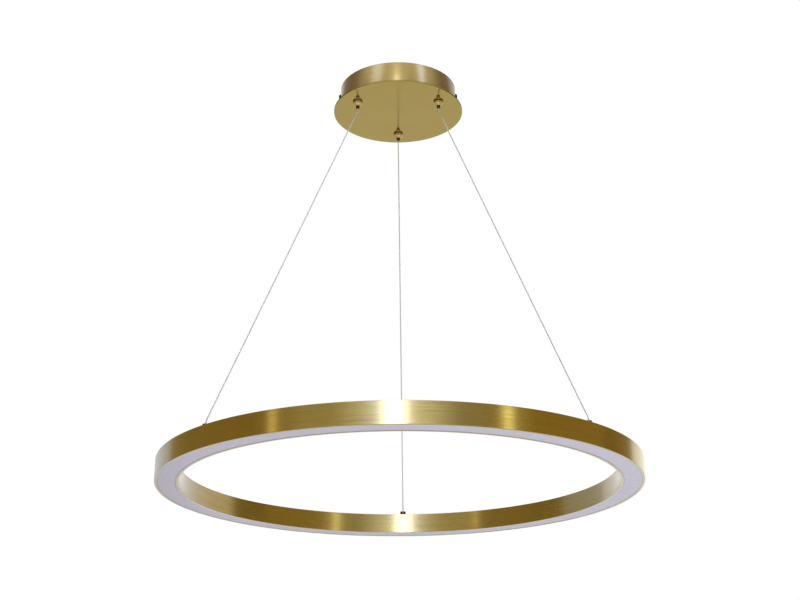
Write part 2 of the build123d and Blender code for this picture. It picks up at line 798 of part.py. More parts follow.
# Opal diffuser, flush between the lips, with a flange that rests on them.
with BuildPart() as diffuser:
    with BuildSketch(ring_plane):
        ring_band(lip_w + diffuser_fit, diffuser_recess, lip_t + diffuser_flange_t)
        ring_band(ring_wall + diffuser_side_gap, lip_t, lip_t + diffuser_flange_t)
    revolve(axis=Axis.Z)
keep(diffuser, "diffuser")

# Boards under the web, in arcs, with their light-emitting diodes.
board_low = web_low - board_t
with BuildPart() as led_boards:
    with BuildSketch(Plane.XY.offset(ring_z + board_low)):
        Circle(ring_mid_r + board_w / 2)
        Circle(ring_mid_r - board_w / 2, mode=Mode.SUBTRACT)
        with PolarLocations(ring_mid_r, board_count, start_angle=180 / board_count / 2):
            Rectangle(2 * board_w, board_gap, mode=Mode.SUBTRACT)
    extrude(amount=board_t)
keep(led_boards, "led_boards")

with BuildPart() as led_chips:
    with BuildSketch(Plane.XY.offset(ring_z + board_low)):
        with PolarLocations(ring_mid_r, chip_count, start_angle=180 / chip_count):
            Rectangle(chip_w, chip_l)
    extrude(amount=-chip_t)
keep(led_chips, "led_chips")

# ---- posts ----
post_r = post_d / 2
post_shank_r = post_shank_d / 2
shank_low_h = post_nut_low - post_shank_over - ring_height
for name, place in post_places.items():
    with BuildPart() as ring_post:
        with BuildSketch(upright(place)) as half:
            with BuildLine():
                Polyline(
                    (post_bore_d / 2, shank_low_h),
                    (post_shank_r, shank_low_h),
                    (post_shank_r, collar_flange_t),
                    (post_r, collar_flange_t),
                    (post_r, post_h),
                    (wire_bore_r, post_h),
                    (wire_bore_r, post_h - post_roof_t),
                    (post_bore_d / 2, post_h - post_roof_t),
                    close=True,
                )
            make_face()
            fillet(half.vertices().group_by(Axis.Y)[-1].sort_by(Axis.X)[-1], post_edge_r)
        revolve(axis=Axis(place, (0, 0, 1)))
    keep(ring_post, f"ring_post_{name}")

with BuildPart() as post_collars:
    for place in post_places.values():
        add(turned(
            [
                (collar_bore_r, -cover_t),
                (collar_sleeve_r, -cover_t),
                (collar_sleeve_r, 0),
                (post_r + collar_flange_over, 0),
                (post_r + collar_flange_over, collar_flange_t),
                (collar_bore_r, collar_flange_t),
            ],
            place,
        ).part)
keep(post_collars, "post_collars")

# Insulating blocks caught under the ledges, and the nuts that draw the posts down on them.
block_w = ring_width - 2 * ring_wall - 2 * block_fit
with BuildPart() as post_blocks:
    for name, angle in post_angles.items():
        block_plane = Plane(at(ring_mid_r, angle, ring_z + ledge_low - block_h), x_dir=at(1, angle))
        with BuildSketch(block_plane):
            RectangleRounded(block_w, block_l, block_corner_r)
            Circle(collar_bore_r, mode=Mode.SUBTRACT)
        extrude(amount=block_h)
keep(post_blocks, "post_blocks")

with BuildPart() as post_nuts:
    for name, place in post_places.items():
        with BuildSketch(Plane(beside(place, 0, post_nut_low), x_dir=at(1, post_angles[name]))):
            RegularPolygon(post_nut_af / 2, 6, major_radius=False)
            Circle(collar_bore_r, mode=Mode.SUBTRACT)
        extrude(amount=post_nut_t)
keep(post_nuts, "post_nuts")

with BuildPart() as wire_crimps:
    for place in post_places.values():
        with BuildSketch(Plane((place.X, place.Y, crimp_top_z))):
            Circle(post_bore_d / 2 - crimp_fit)
            Circle(wire_d / 2 + seat_gap, mode=Mode.SUBTRACT)
        extrude(amount=-crimp_l)
keep(wire_crimps, "wire_crimps")

# Leads from the two live posts down through the web to the boards.
with BuildPart() as ring_leads:
    for name in ("left", "right"):
        place = post_places[name]
        lead_h = post_nut_low + post_nut_t / 2
        add(tube(
            [
                beside(place, post_nut_af / 2, lead_h),
                beside(place, lead_drop, lead_h),
                beside(place, lead_drop, web_low),
            ],
            [lead_d],
            lead_d,
        ).part)
keep(ring_leads, "ring_leads")
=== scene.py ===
"""LED ring chandelier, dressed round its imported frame.

A shallow brushed drum with a wider polished plate under it hangs on the ceiling. Three
wire grippers in the plate hold three taut steel wires, which carry a brushed brass ring
with an opal diffuser on its underside. Sizes in the classes are millimetres, places come
from the frame, and every mesh is made in metres at the frame's own origin.
"""

import logging
import math
from collections.abc import Callable, Iterator, Sequence
from contextlib import contextmanager
from dataclasses import dataclass
from enum import Enum

import bmesh
import bpy
from mathutils import Euler, Matrix, Vector


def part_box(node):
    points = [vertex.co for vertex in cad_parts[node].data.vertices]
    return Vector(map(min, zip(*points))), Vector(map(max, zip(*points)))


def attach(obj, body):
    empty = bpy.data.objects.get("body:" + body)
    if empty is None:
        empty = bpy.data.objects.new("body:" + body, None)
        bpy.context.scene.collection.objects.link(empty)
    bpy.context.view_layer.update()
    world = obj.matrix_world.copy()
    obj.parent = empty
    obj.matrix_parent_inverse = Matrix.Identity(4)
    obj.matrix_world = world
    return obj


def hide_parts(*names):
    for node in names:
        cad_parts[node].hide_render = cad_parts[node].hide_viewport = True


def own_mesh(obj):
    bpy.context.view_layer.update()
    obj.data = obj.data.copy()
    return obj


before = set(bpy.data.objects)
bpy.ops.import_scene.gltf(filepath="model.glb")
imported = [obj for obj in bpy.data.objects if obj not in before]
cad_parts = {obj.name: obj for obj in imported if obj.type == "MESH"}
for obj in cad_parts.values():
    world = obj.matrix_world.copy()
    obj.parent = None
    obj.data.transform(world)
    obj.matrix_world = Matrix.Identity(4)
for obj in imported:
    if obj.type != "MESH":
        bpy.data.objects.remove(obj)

logging.basicConfig(level=logging.INFO, format="%(name)s: %(message)s")
log = logging.getLogger("chandelier")

MM = 0.001
FULL_TURN = 2 * math.pi
WELD = 0.002                 # mm, distance at which doubled vertices are joined
SMOOTH_ANGLE = math.radians(35)
LEAST_ROUGHNESS = 0.02
WAVE_BANDS = 20.0            # Blender's wave texture turns through this angle per unit of scale

Piece = bpy.types.Object
Point2 = tuple[float, float]
NodeTree = bpy.types.NodeTree
Socket = bpy.types.NodeSocket


class Pick(Enum):
    """What is selected in edit mode."""

    VERTICES = "VERT"
    EDGES = "EDGE"
    FACES = "FACE"


class Side(Enum):
    """The two side screws, by the sign of their x."""

    LEFT = -1
    RIGHT = 1


class Wire(Enum):
    """The three suspension wires."""

    FAR = "far"
    LEFT = "left"
    RIGHT = "right"


# ---------------------------------------------------------------- frame and edit tools


def deselect_all() -> None:
    """Leave nothing selected."""
    bpy.ops.object.select_all(action="DESELECT")


def activate(piece: Piece) -> None:
    """Make one object the only selected and active one.

    Args:
        piece: The object to work on.
    """
    deselect_all()
    piece.select_set(True)
    bpy.context.view_layer.objects.active = piece


@contextmanager
def editing(piece: Piece) -> Iterator[None]:
    """Edit mode on one object, left again at the end.

    Args:
        piece: The mesh object to edit.
    """
    activate(piece)
    bpy.ops.object.mode_set(mode="EDIT")
    yield
    bpy.ops.object.mode_set(mode="OBJECT")


def pick(piece: Piece, kind: Pick, test: Callable[[Vector], bool]) -> None:
    """Select in edit mode what has all its points where the test says.

    Args:
        piece: The object in edit mode.
        kind: Vertices, edges or faces.
        test: Says whether a point, in millimetres, is in the wanted place.
    """
    bpy.ops.mesh.select_mode(type=kind.value)
    bpy.ops.mesh.select_all(action="DESELECT")
    shape = bmesh.from_edit_mesh(piece.data)
    if kind is Pick.VERTICES:
        for vertex in shape.verts:
            vertex.select_set(test(vertex.co / MM))
    else:
        for part in shape.edges if kind is Pick.EDGES else shape.faces:
            part.select_set(all(test(vertex.co / MM) for vertex in part.verts))
    bmesh.update_edit_mesh(piece.data)


def bevel_where(piece: Piece, width: float, segments: int, test: Callable[[Vector], bool]) -> None:
    """Round the edges whose two ends lie where the test says.

    Args:
        piece: The mesh object.
        width: Bevel width in millimetres.
        segments: Steps across the bevel.
        test: Says whether a point, in millimetres, is on such an edge.
    """
    with editing(piece):
        pick(piece, Pick.EDGES, test)
        bpy.ops.mesh.bevel(offset=width * MM, segments=segments, profile=0.5, affect="EDGES")


def spun(
    name: str,
    section: Sequence[Point2],
    steps: int,
    centre: Vector = Vector((0.0, 0.0, 0.0)),
    angle: float = FULL_TURN,
    closed: bool = True,
) -> Piece:
    """Draw a section vertex by vertex and spin it about an upright axis.

    Args:
        name: The new object's name.
        section: (radius, height) points in millimetres, from the centre.
        steps: Copies of the section round the axis.
        centre: Where the axis stands and heights start, in millimetres.
        angle: How far the section turns.
        closed: Whether the last point joins the first.

    Returns:
        The turned object, at the origin, with its place in its mesh.
    """
    deselect_all()
    bpy.ops.mesh.primitive_plane_add(size=MM)
    piece = bpy.context.object
    piece.name = piece.data.name = name
    points = [(centre + Vector((radius, 0.0, height))) * MM for radius, height in section]
    with editing(piece):
        bpy.ops.mesh.select_mode(type=Pick.VERTICES.value)
        bpy.ops.mesh.select_all(action="SELECT")
        bpy.ops.mesh.merge(type="CENTER")
        bpy.ops.transform.translate(value=points[0])
        for start, end in zip(points, points[1:]):
            bpy.ops.mesh.extrude_region_move(TRANSFORM_OT_translate={"value": end - start})
        if closed:
            ends = (points[0] / MM, points[-1] / MM)
            pick(piece, Pick.VERTICES, lambda point: min((point - end).length for end in ends) < WELD)
            bpy.ops.mesh.edge_face_add()
        bpy.ops.mesh.select_all(action="SELECT")
        bpy.ops.mesh.spin(steps=steps, angle=angle, center=centre * MM, axis=(0.0, 0.0, 1.0))
        bpy.ops.mesh.select_all(action="SELECT")
        bpy.ops.mesh.remove_doubles(threshold=WELD * MM)
        bpy.ops.mesh.normals_make_consistent(inside=False)
    return piece


def apply_modifier(piece: Piece, kind: str, **settings: object) -> None:
    """Add a modifier with its settings and apply it.

    Args:
        piece: The object to change.
        kind: Blender's name for the modifier.
        settings: The modifier's properties.
    """
    activate(piece)
    modifier = piece.modifiers.new(kind.title(), kind)
    for key, value in settings.items():
        setattr(modifier, key, value)
    bpy.ops.object.modifier_apply(modifier=modifier.name)


def soften(piece: Piece, width: float, segments: int = 2, angle: float = 40.0) -> None:
    """Round every sharp edge a little and leave the flat faces flat.

    Args:
        piece: The object to change.
        width: Bevel width in millimetres.
        segments: Steps across each bevel.
        angle: Edges sharper than this many degrees are rounded.
    """
    activate(piece)
    bpy.ops.object.shade_smooth()
    apply_modifier(
        piece, "BEVEL", width=width * MM, segments=segments, limit_method="ANGLE",
        angle_limit=math.radians(angle), harden_normals=True, use_clamp_overlap=True,
    )


def cut_with(piece: Piece, tool: Piece) -> None:
    """Cut one closed shape out of another and throw the tool away.

    Args:
        piece: The object that keeps its shape outside the tool.
        tool: The object to cut with.
    """
    apply_modifier(piece, "BOOLEAN", object=tool, operation="DIFFERENCE", solver="EXACT")
    bpy.data.objects.remove(tool)


def bore(
    piece: Piece, at: Vector, diameter: float, depth: float, across: bool = False, sides: int = 48,
) -> None:
    """Drill a round or many-sided hole.

    Args:
        piece: The object to drill.
        at: The hole's middle, in millimetres.
        diameter: Across the hole's corners, in millimetres.
        depth: The hole's whole length, in millimetres.
        across: Whether the hole runs along x and not along z.
        sides: How many sides the hole has.
    """
    deselect_all()
    bpy.ops.mesh.primitive_cylinder_add(
        vertices=sides, radius=diameter / 2 * MM, depth=depth * MM, location=at * MM,
        rotation=(0.0, math.pi / 2 if across else 0.0, 0.0),
    )
    cut_with(piece, bpy.context.object)


def join(name: str, pieces: Sequence[Piece]) -> Piece:
    """Join several objects in one.

    Args:
        name: The joined object's name.
        pieces: The objects, of which the first stays.

    Returns:
        The joined object.
    """
    activate(pieces[0])
    for piece in pieces:
        piece.select_set(True)
    bpy.ops.object.join()
    pieces[0].name = pieces[0].data.name = name
    return pieces[0]


def copied(piece: Piece, name: str, shift: Vector) -> Piece:
    """Copy an object with a mesh of its own and move the copy.

    Args:
        piece: The object to copy.
        name: The copy's name.
        shift: How far the copy goes, in metres.

    Returns:
        The copy, at the origin, with its place in its mesh.
    """
    activate(piece)
    bpy.ops.object.duplicate()
    copy = bpy.context.object
    copy.name = copy.data.name = name
    with editing(copy):
        bpy.ops.mesh.select_all(action="SELECT")
        bpy.ops.transform.translate(value=shift)
    return copy


def close_ends(piece: Piece) -> None:
    """Close a tube's two ends and turn its faces outwards.

    Args:
        piece: The tube.
    """
    with editing(piece):
        bpy.ops.mesh.select_all(action="SELECT")
        bpy.ops.mesh.fill_holes(sides=0)
        bpy.ops.mesh.select_all(action="SELECT")
        bpy.ops.mesh.normals_make_consistent(inside=False)


def box_mm(node: str) -> tuple[Vector, Vector]:
    """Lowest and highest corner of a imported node's box, in millimetres.

    Args:
        node: The node's name.

    Returns:
        The two corners.
    """
    low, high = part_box(node)
    return low / MM, high / MM


def middle(node: str) -> Vector:
    """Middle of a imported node's box, in metres.

    Args:
        node: The node's name.

    Returns:
        The middle point.
    """
    low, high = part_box(node)
    return (low + high) / 2


def smooth(piece: Piece) -> None:
    """Shade an object smoothly, but for its sharp edges.

    Args:
        piece: The object to shade.
    """
    activate(piece)
    bpy.ops.object.shade_smooth_by_angle(angle=SMOOTH_ANGLE)


def paint(piece: Piece, material: bpy.types.Material) -> None:
    """Give an object one material and no other.

    Args:
        piece: The object.
        material: The finish that it shows.
    """
    piece.data.materials.clear()
    piece.data.materials.append(material)


def fit(piece: Piece, body: str, material: bpy.types.Material, slot: str, *nodes: str) -> None:
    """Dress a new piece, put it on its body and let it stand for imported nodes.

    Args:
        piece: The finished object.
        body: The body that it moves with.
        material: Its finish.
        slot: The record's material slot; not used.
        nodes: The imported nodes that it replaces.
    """
    paint(piece, material)
    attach(piece, body)
    if nodes:
        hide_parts(*nodes)
    log.info("%s on %s stands for %s", piece.name, body, ", ".join(nodes) or "no node")


# ---------------------------------------------------------------- finishes


def linear(hex_colour: str) -> tuple[float, float, float, float]:
    """Turn an sRGB hex colour to linear RGBA.

    Args:
        hex_colour: Six hex digits after a hash sign.

    Returns:
        Linear red, green, blue and an alpha of 1.
    """
    parts = [int(hex_colour[i:i + 2], 16) / 255 for i in (1, 3, 5)]
    red, green, blue = [p / 12.92 if p <= 0.04045 else ((p + 0.055) / 1.055) ** 2.4 for p in parts]
    return (red, green, blue, 1.0)


def add_node(tree: NodeTree, kind: str, links: dict | None = None, **settings: object) -> bpy.types.Node:
    """Add one shader node with its properties, values and links.

    Args:
        tree: The node tree.
        kind: The node's type name.
        links: Values or output sockets by the input's name or number.
        settings: The node's own properties.

    Returns:
        The new node.
    """
    node = tree.nodes.new(kind)
    for key, value in settings.items():
        setattr(node, key, value)
    for socket, value in (links or {}).items():
        if isinstance(value, Socket):
            tree.links.new(value, node.inputs[socket])
        else:
            node.inputs[socket].default_value = value
    return node


def compute(tree: NodeTree, operation: str, *values: Socket | float) -> Socket:
    """Add one step of arithmetic.

    Args:
        tree: The node tree.
        operation: Blender's name for the step.
        values: Numbers or output sockets that it works on.

    Returns:
        The result's socket.
    """
    return add_node(tree, "ShaderNodeMath", dict(enumerate(values)), operation=operation).outputs[0]


def object_place(tree: NodeTree) -> Socket:
    """Place on the object, in metres.

    Args:
        tree: The node tree.

    Returns:
        The place's socket.
    """
    return add_node(tree, "ShaderNodeTexCoord").outputs["Object"]


def noise(tree: NodeTree, place: Socket, size: float, detail: float) -> Socket:
    """Cloudy pattern from 0 to 1.

    Args:
        tree: The node tree.
        place: Where the pattern is read.
        size: How large its patches are, in the place's units.
        detail: How many finer layers it has.

    Returns:
        The pattern's socket.
    """
    links = {"Vector": place, "Scale": 1 / size, "Detail": detail}
    return add_node(tree, "ShaderNodeTexNoise", links).outputs["Fac"]


def new_material(name: str) -> tuple[bpy.types.Material, NodeTree]:
    """Make an empty node material.

    Args:
        name: The material's name.

    Returns:
        The material and its cleared node tree.
    """
    material = bpy.data.materials.new(name)
    material.use_nodes = True
    material.node_tree.nodes.clear()
    return material, material.node_tree


@dataclass(frozen=True)
class Finish:
    """A surface of one real material.

    The colour is the one seen under even white light. Mottling is a slow change of that
    colour, towards the shade, and of the gloss. Relief is the height of the fine bumps.
    Sizes and the relief are in millimetres.
    """

    name: str
    colour: str
    shade: str
    roughness: float
    metallic: float = 0.0
    coat: float = 0.0
    coat_roughness: float = 0.15
    mottle_size: float = 12.0
    mottle_gloss: float = 0.06
    relief_size: float = 0.6
    relief: float = 0.01

    def pattern(self, tree: NodeTree) -> Socket:
        """Uneven colour, from 0 to 1 over the surface.

        Args:
            tree: The material's nodes.

        Returns:
            The pattern's output socket.
        """
        return noise(tree, object_place(tree), self.mottle_size * MM, 4.0)

    def bumps(self, tree: NodeTree) -> Socket:
        """Height of the fine relief, from 0 to 1.

        Args:
            tree: The material's nodes.

        Returns:
            The relief's output socket.
        """
        return noise(tree, object_place(tree), self.relief_size * MM, 2.0)

    def extras(self, tree: NodeTree, surface: bpy.types.Node) -> None:
        """Settings of the shader that only some finishes have.

        Args:
            tree: The material's nodes.
            surface: The principled shader.
        """

    def material(self) -> bpy.types.Material:
        """Build the finish.

        Returns:
            The material, made once for each finish.
        """
        known = bpy.data.materials.get(self.name)
        if known:
            return known
        material, tree = new_material(self.name)
        pattern = self.pattern(tree)
        colour = add_node(
            tree, "ShaderNodeMix",
            {0: pattern, 6: linear(self.shade), 7: linear(self.colour)}, data_type="RGBA",
        )
        dull = self.roughness + self.mottle_gloss
        shiny = max(LEAST_ROUGHNESS, self.roughness - self.mottle_gloss)
        gloss = add_node(tree, "ShaderNodeMapRange", {0: pattern, 3: dull, 4: shiny})
        bump = add_node(
            tree, "ShaderNodeBump",
            {"Height": self.bumps(tree), "Distance": self.relief * MM, "Strength": 1.0},
        )
        surface = add_node(
            tree, "ShaderNodeBsdfPrincipled",
            {
                "Base Color": colour.outputs[2], "Roughness": gloss.outputs[0], "Normal": bump.outputs[0],
                "Metallic": self.metallic, "Coat Weight": self.coat, "Coat Roughness": self.coat_roughness,
            },
        )
        self.extras(tree, surface)
        add_node(tree, "ShaderNodeOutputMaterial", {"Surface": surface.outputs[0]})
        return material


@dataclass(frozen=True)
class BrushedBrass(Finish):
    """Brass-coloured metal brushed round its axis under clear lacquer.

    The scratches run round the axis, so light spreads along the height of a wall, and
    what the metal mirrors stands on it as upright bands.
    """

    anisotropy: float = 0.95
    spread_turn: float = 0.25     # a quarter turn: light spreads across the scratches
    grain_pitch: float = 0.9      # real scratches are finer; this is as fine as shows
    grain_length: float = 26.0

    def along_the_grain(self, tree: NodeTree, pitch: float, length: float) -> Socket:
        """Streaks round the axis, on walls and on flat faces alike.

        Args:
            tree: The material's nodes.
            pitch: Distance between streaks in millimetres.
            length: Length of a streak in millimetres.

        Returns:
            The streaks' output socket.
        """
        x, y, z = add_node(tree, "ShaderNodeSeparateXYZ", {0: object_place(tree)}).outputs
        flat = add_node(tree, "ShaderNodeCombineXYZ", {0: x, 1: y})
        radius = add_node(tree, "ShaderNodeVectorMath", {0: flat.outputs[0]}, operation="LENGTH")
        across = compute(tree, "ADD", radius.outputs["Value"], z)
        joined = add_node(tree, "ShaderNodeCombineXYZ", {0: x, 1: y, 2: across})
        along, over = 1 / (length * MM), 1 / (pitch * MM)
        scaled = add_node(
            tree, "ShaderNodeMapping", {"Vector": joined.outputs[0], "Scale": (along, along, over)},
        )
        return noise(tree, scaled.outputs[0], 1.0, 3.0)

    def pattern(self, tree: NodeTree) -> Socket:
        """Brush marks as a change of colour."""
        return self.along_the_grain(tree, self.grain_pitch, self.grain_length)

    def bumps(self, tree: NodeTree) -> Socket:
        """Brush marks as relief, finer than those of the colour."""
        return self.along_the_grain(tree, self.grain_pitch / 2, self.grain_length)

    def extras(self, tree: NodeTree, surface: bpy.types.Node) -> None:
        """Spread the gloss across the scratches."""
        around = add_node(tree, "ShaderNodeTangent", direction_type="RADIAL", axis="Z")
        tree.links.new(around.outputs[0], surface.inputs["Tangent"])
        surface.inputs["Anisotropic"].default_value = self.anisotropy
        surface.inputs["Anisotropic Rotation"].default_value = self.spread_turn


@dataclass(frozen=True)
class OpalAcrylic(Finish):
    """Satin opal sheet, through which light spreads before it comes out."""

    depth: float = 2.5
    scattered: float = 0.25       # share of the light that goes in
    reach: tuple[float, float, float] = (1.0, 0.95, 1.1)      # of red, green and blue

    def extras(self, tree: NodeTree, surface: bpy.types.Node) -> None:
        """Let some light wander below the surface."""
        surface.inputs["Subsurface Weight"].default_value = self.scattered
        surface.inputs["Subsurface Radius"].default_value = self.reach
        surface.inputs["Subsurface Scale"].default_value = self.depth * MM


@dataclass(frozen=True)
class TwoColourSleeve(Finish):
    """Soft lead sleeve with a second colour in long stripes."""

    stripe_pitch: float = 2.2

    def pattern(self, tree: NodeTree) -> Socket:
        """Stripes of the second colour along the lead."""
        scale = 1 / (self.stripe_pitch * MM) / WAVE_BANDS
        bands = add_node(
            tree, "ShaderNodeTexWave", {"Vector": object_place(tree), "Scale": scale, "Distortion": 0.2},
            bands_direction="Z",
        )
        return bands.outputs["Fac"]


# Brushed, then anodised gold under a clear seal: soft upright bands of whatever stands
# around it, fine level scratches in them, and colour that deepens in the shade. The
# scratches are drawn coarser and longer than real ones, so that they show at all.
ANODISED_BRUSHED = BrushedBrass(
    "anodised_aluminium_brushed", "#AA9552", "#86733A", roughness=0.25, metallic=1.0,
    coat=1.0, coat_roughness=0.18, mottle_gloss=0.08, relief=0.005, grain_pitch=1.4, grain_length=70.0,
)
# Steel brushed before a brass plate and lacquer: paler and duller than the ring.
PLATED_BRUSHED = BrushedBrass(
    "brass_plate_brushed", "#A8925A", "#927D48", roughness=0.32, metallic=1.0,
    coat=0.8, coat_roughness=0.2, mottle_gloss=0.03, relief=0.004, anisotropy=0.9,
)
# Steel polished before plating: mirrors the room nearly whole, a little wavy like any sheet.
PLATED_POLISHED = Finish(
    "brass_plate_polished", "#A99348", "#A18B42", roughness=0.14, metallic=1.0,
    coat=0.1, coat_roughness=0.08, mottle_size=45.0, mottle_gloss=0.02, relief_size=30.0, relief=0.05,
)
# The sheared edge of the plate, plated but never polished, so duller than the face; its colour is also
# darkened as painted shade, so that no bright line shows at the rim.
PLATED_EDGE_SHADED = Finish(
    "brass_plate_cut_edge_painted_shade", "#8F7C40", "#7C6A34", roughness=0.5, metallic=1.0, mottle_size=2.0,
)
# Turned and left satin under clear lacquer: a soft, pale gold shine. It is less metallic
# than brass, because lacquer over fine turning marks scatters part of the light.
BRASS_TURNED = Finish(
    "brass_turned_satin", "#D2BC86", "#C2AC74", roughness=0.48, metallic=0.55,
    mottle_size=3.0, mottle_gloss=0.04, relief_size=0.4, relief=0.002,
)
# Turned and darkened in a bath: brown, with a small sharp glint.
BRASS_DARK = Finish(
    "brass_darkened", "#6A5228", "#4A381C", roughness=0.3, metallic=1.0, mottle_size=1.5, relief=0.003,
)
# Darkened and rubbed smooth: nearly black but for the lights it mirrors.
BRASS_BURNISHED = Finish(
    "brass_burnished_dark", "#5C5030", "#4A4024", roughness=0.2, metallic=1.0, mottle_size=1.5, relief=0.002,
)
# Straight from the lathe: yellow and bright.
BRASS_PLAIN = Finish("brass_machined", "#CDB06A", "#B0914C", roughness=0.28, metallic=1.0, mottle_size=2.0)
# Zinc from a plating bath: blue-grey, half bright and slightly cloudy.
ZINC = Finish("steel_zinc_plated", "#B9BEC2", "#A3A9AE", roughness=0.27, metallic=1.0, mottle_size=6.0)
# Steel blackened in hot salts and oiled: black with a cool satin sheen.
BLACK_OXIDE = Finish("steel_black_oxide", "#2E2C33", "#1E1C22", roughness=0.34, metallic=1.0, mottle_size=2.0)
# Cold-drawn wire and ground balls: clean and bright.
SPRING_STEEL = Finish(
    "spring_steel_drawn", "#BDBDBE", "#A0A0A2", roughness=0.2, metallic=1.0, mottle_size=2.0,
)
# Rope of drawn stainless strands: their many small curves blur to an even pale grey. The
# finish is less metallic than the steel, to stand for light that bounces between strands.
STRANDED = Finish("stainless_rope", "#D6D6D2", "#CCCCC8", roughness=0.6, metallic=0.25, mottle_size=6.0)
# Copper dipped in tin: warm white metal with a soft shine.
TIN = Finish("copper_tinned", "#C8C8C4", "#AEAEA9", roughness=0.3, metallic=1.0, mottle_size=2.5)
# Moulded against a lightly eroded tool: an even, slightly grainy satin.
ABS_WHITE = Finish("abs_moulded_white", "#E6E6E2", "#DCDCD8", roughness=0.42, relief_size=0.8, relief=0.012)
# Moulded housings of components: dull black.
PHENOLIC = Finish("component_black", "#2A2A2C", "#1C1C1E", roughness=0.45, relief_size=0.8, relief=0.01)
# Black nylon bushes: dark brown, waxy; the brown in the colour is a painted reflection of the brass round
# them.
NYLON_BLACK = Finish("nylon_black", "#443A22", "#383020", roughness=0.4, mottle_size=5.0, relief_size=1.0)
# Undyed moulded nylon: milky and waxy.
NYLON = Finish("nylon_natural", "#E2DFD2", "#D2CEBE", roughness=0.38, mottle_size=5.0, relief_size=1.0)
# Solder mask over glass fibre: deep green with a wet shine.
BOARD_GREEN = Finish("circuit_board_mask", "#2E6B42", "#245636", roughness=0.3, mottle_size=4.0)
# Extruded PVC sleeves: saturated colour, soft and a little uneven.
SLEEVE_BROWN = Finish("pvc_sleeve_brown", "#6B4630", "#573725", roughness=0.45, relief_size=1.2, relief=0.02)
SLEEVE_RED = Finish("pvc_sleeve_red", "#B42A24", "#96201C", roughness=0.42, relief_size=1.2, relief=0.02)
SLEEVE_EARTH = TwoColourSleeve("pvc_sleeve_earth", "#3E8A3A", "#C9B42A", roughness=0.42, relief_size=1.2)
# White mask printed on aluminium strip: flat white with a faint gloss.
LED_BOARD = Finish("led_board_white_mask", "#E8E8E4", "#DCDCD6", roughness=0.35, mottle_size=8.0)
# Phosphor cast in silicone: flat warm yellow.
PHOSPHOR = Finish("led_phosphor", "#E8CE5A", "#DABB40", roughness=0.4, mottle_size=1.5)
# Extruded opal sheet with a satin face: no image in it, only an even cool white glow.
OPAL = OpalAcrylic(
    "acrylic_opal_satin", "#CCC7DB", "#C6C1D6", roughness=0.34, mottle_size=120.0, mottle_gloss=0.03,
    relief_size=2.0, relief=0.004,
)

CARRIED_OVER: dict[str, Finish] = {
    "bracket_nuts": ZINC, "ceiling_bracket": ZINC, "stud_nuts": ZINC, "gripper_nuts": ZINC,
    "driver_board": BOARD_GREEN, "driver_case": ABS_WHITE, "driver_lid": ABS_WHITE,
    "driver_components": PHENOLIC, "terminal_block": ABS_WHITE, "terminal_sleeves": BRASS_PLAIN,
    "terminal_screws": ZINC, "earth_tag": TIN, "wire_ferrules": TIN, "wire_crimps": TIN,
    "input_leads": SLEEVE_BROWN, "earth_lead": SLEEVE_EARTH, "output_leads": SLEEVE_RED,
    "ring_leads": SLEEVE_RED, "gripper_bushes": NYLON_BLACK, "gripper_washers": NYLON,
    "gripper_caps": BRASS_PLAIN, "led_boards": LED_BOARD, "led_chips": PHOSPHOR,
    "post_blocks": NYLON, "post_nuts": ZINC,
}


# ---------------------------------------------------------------- canopy


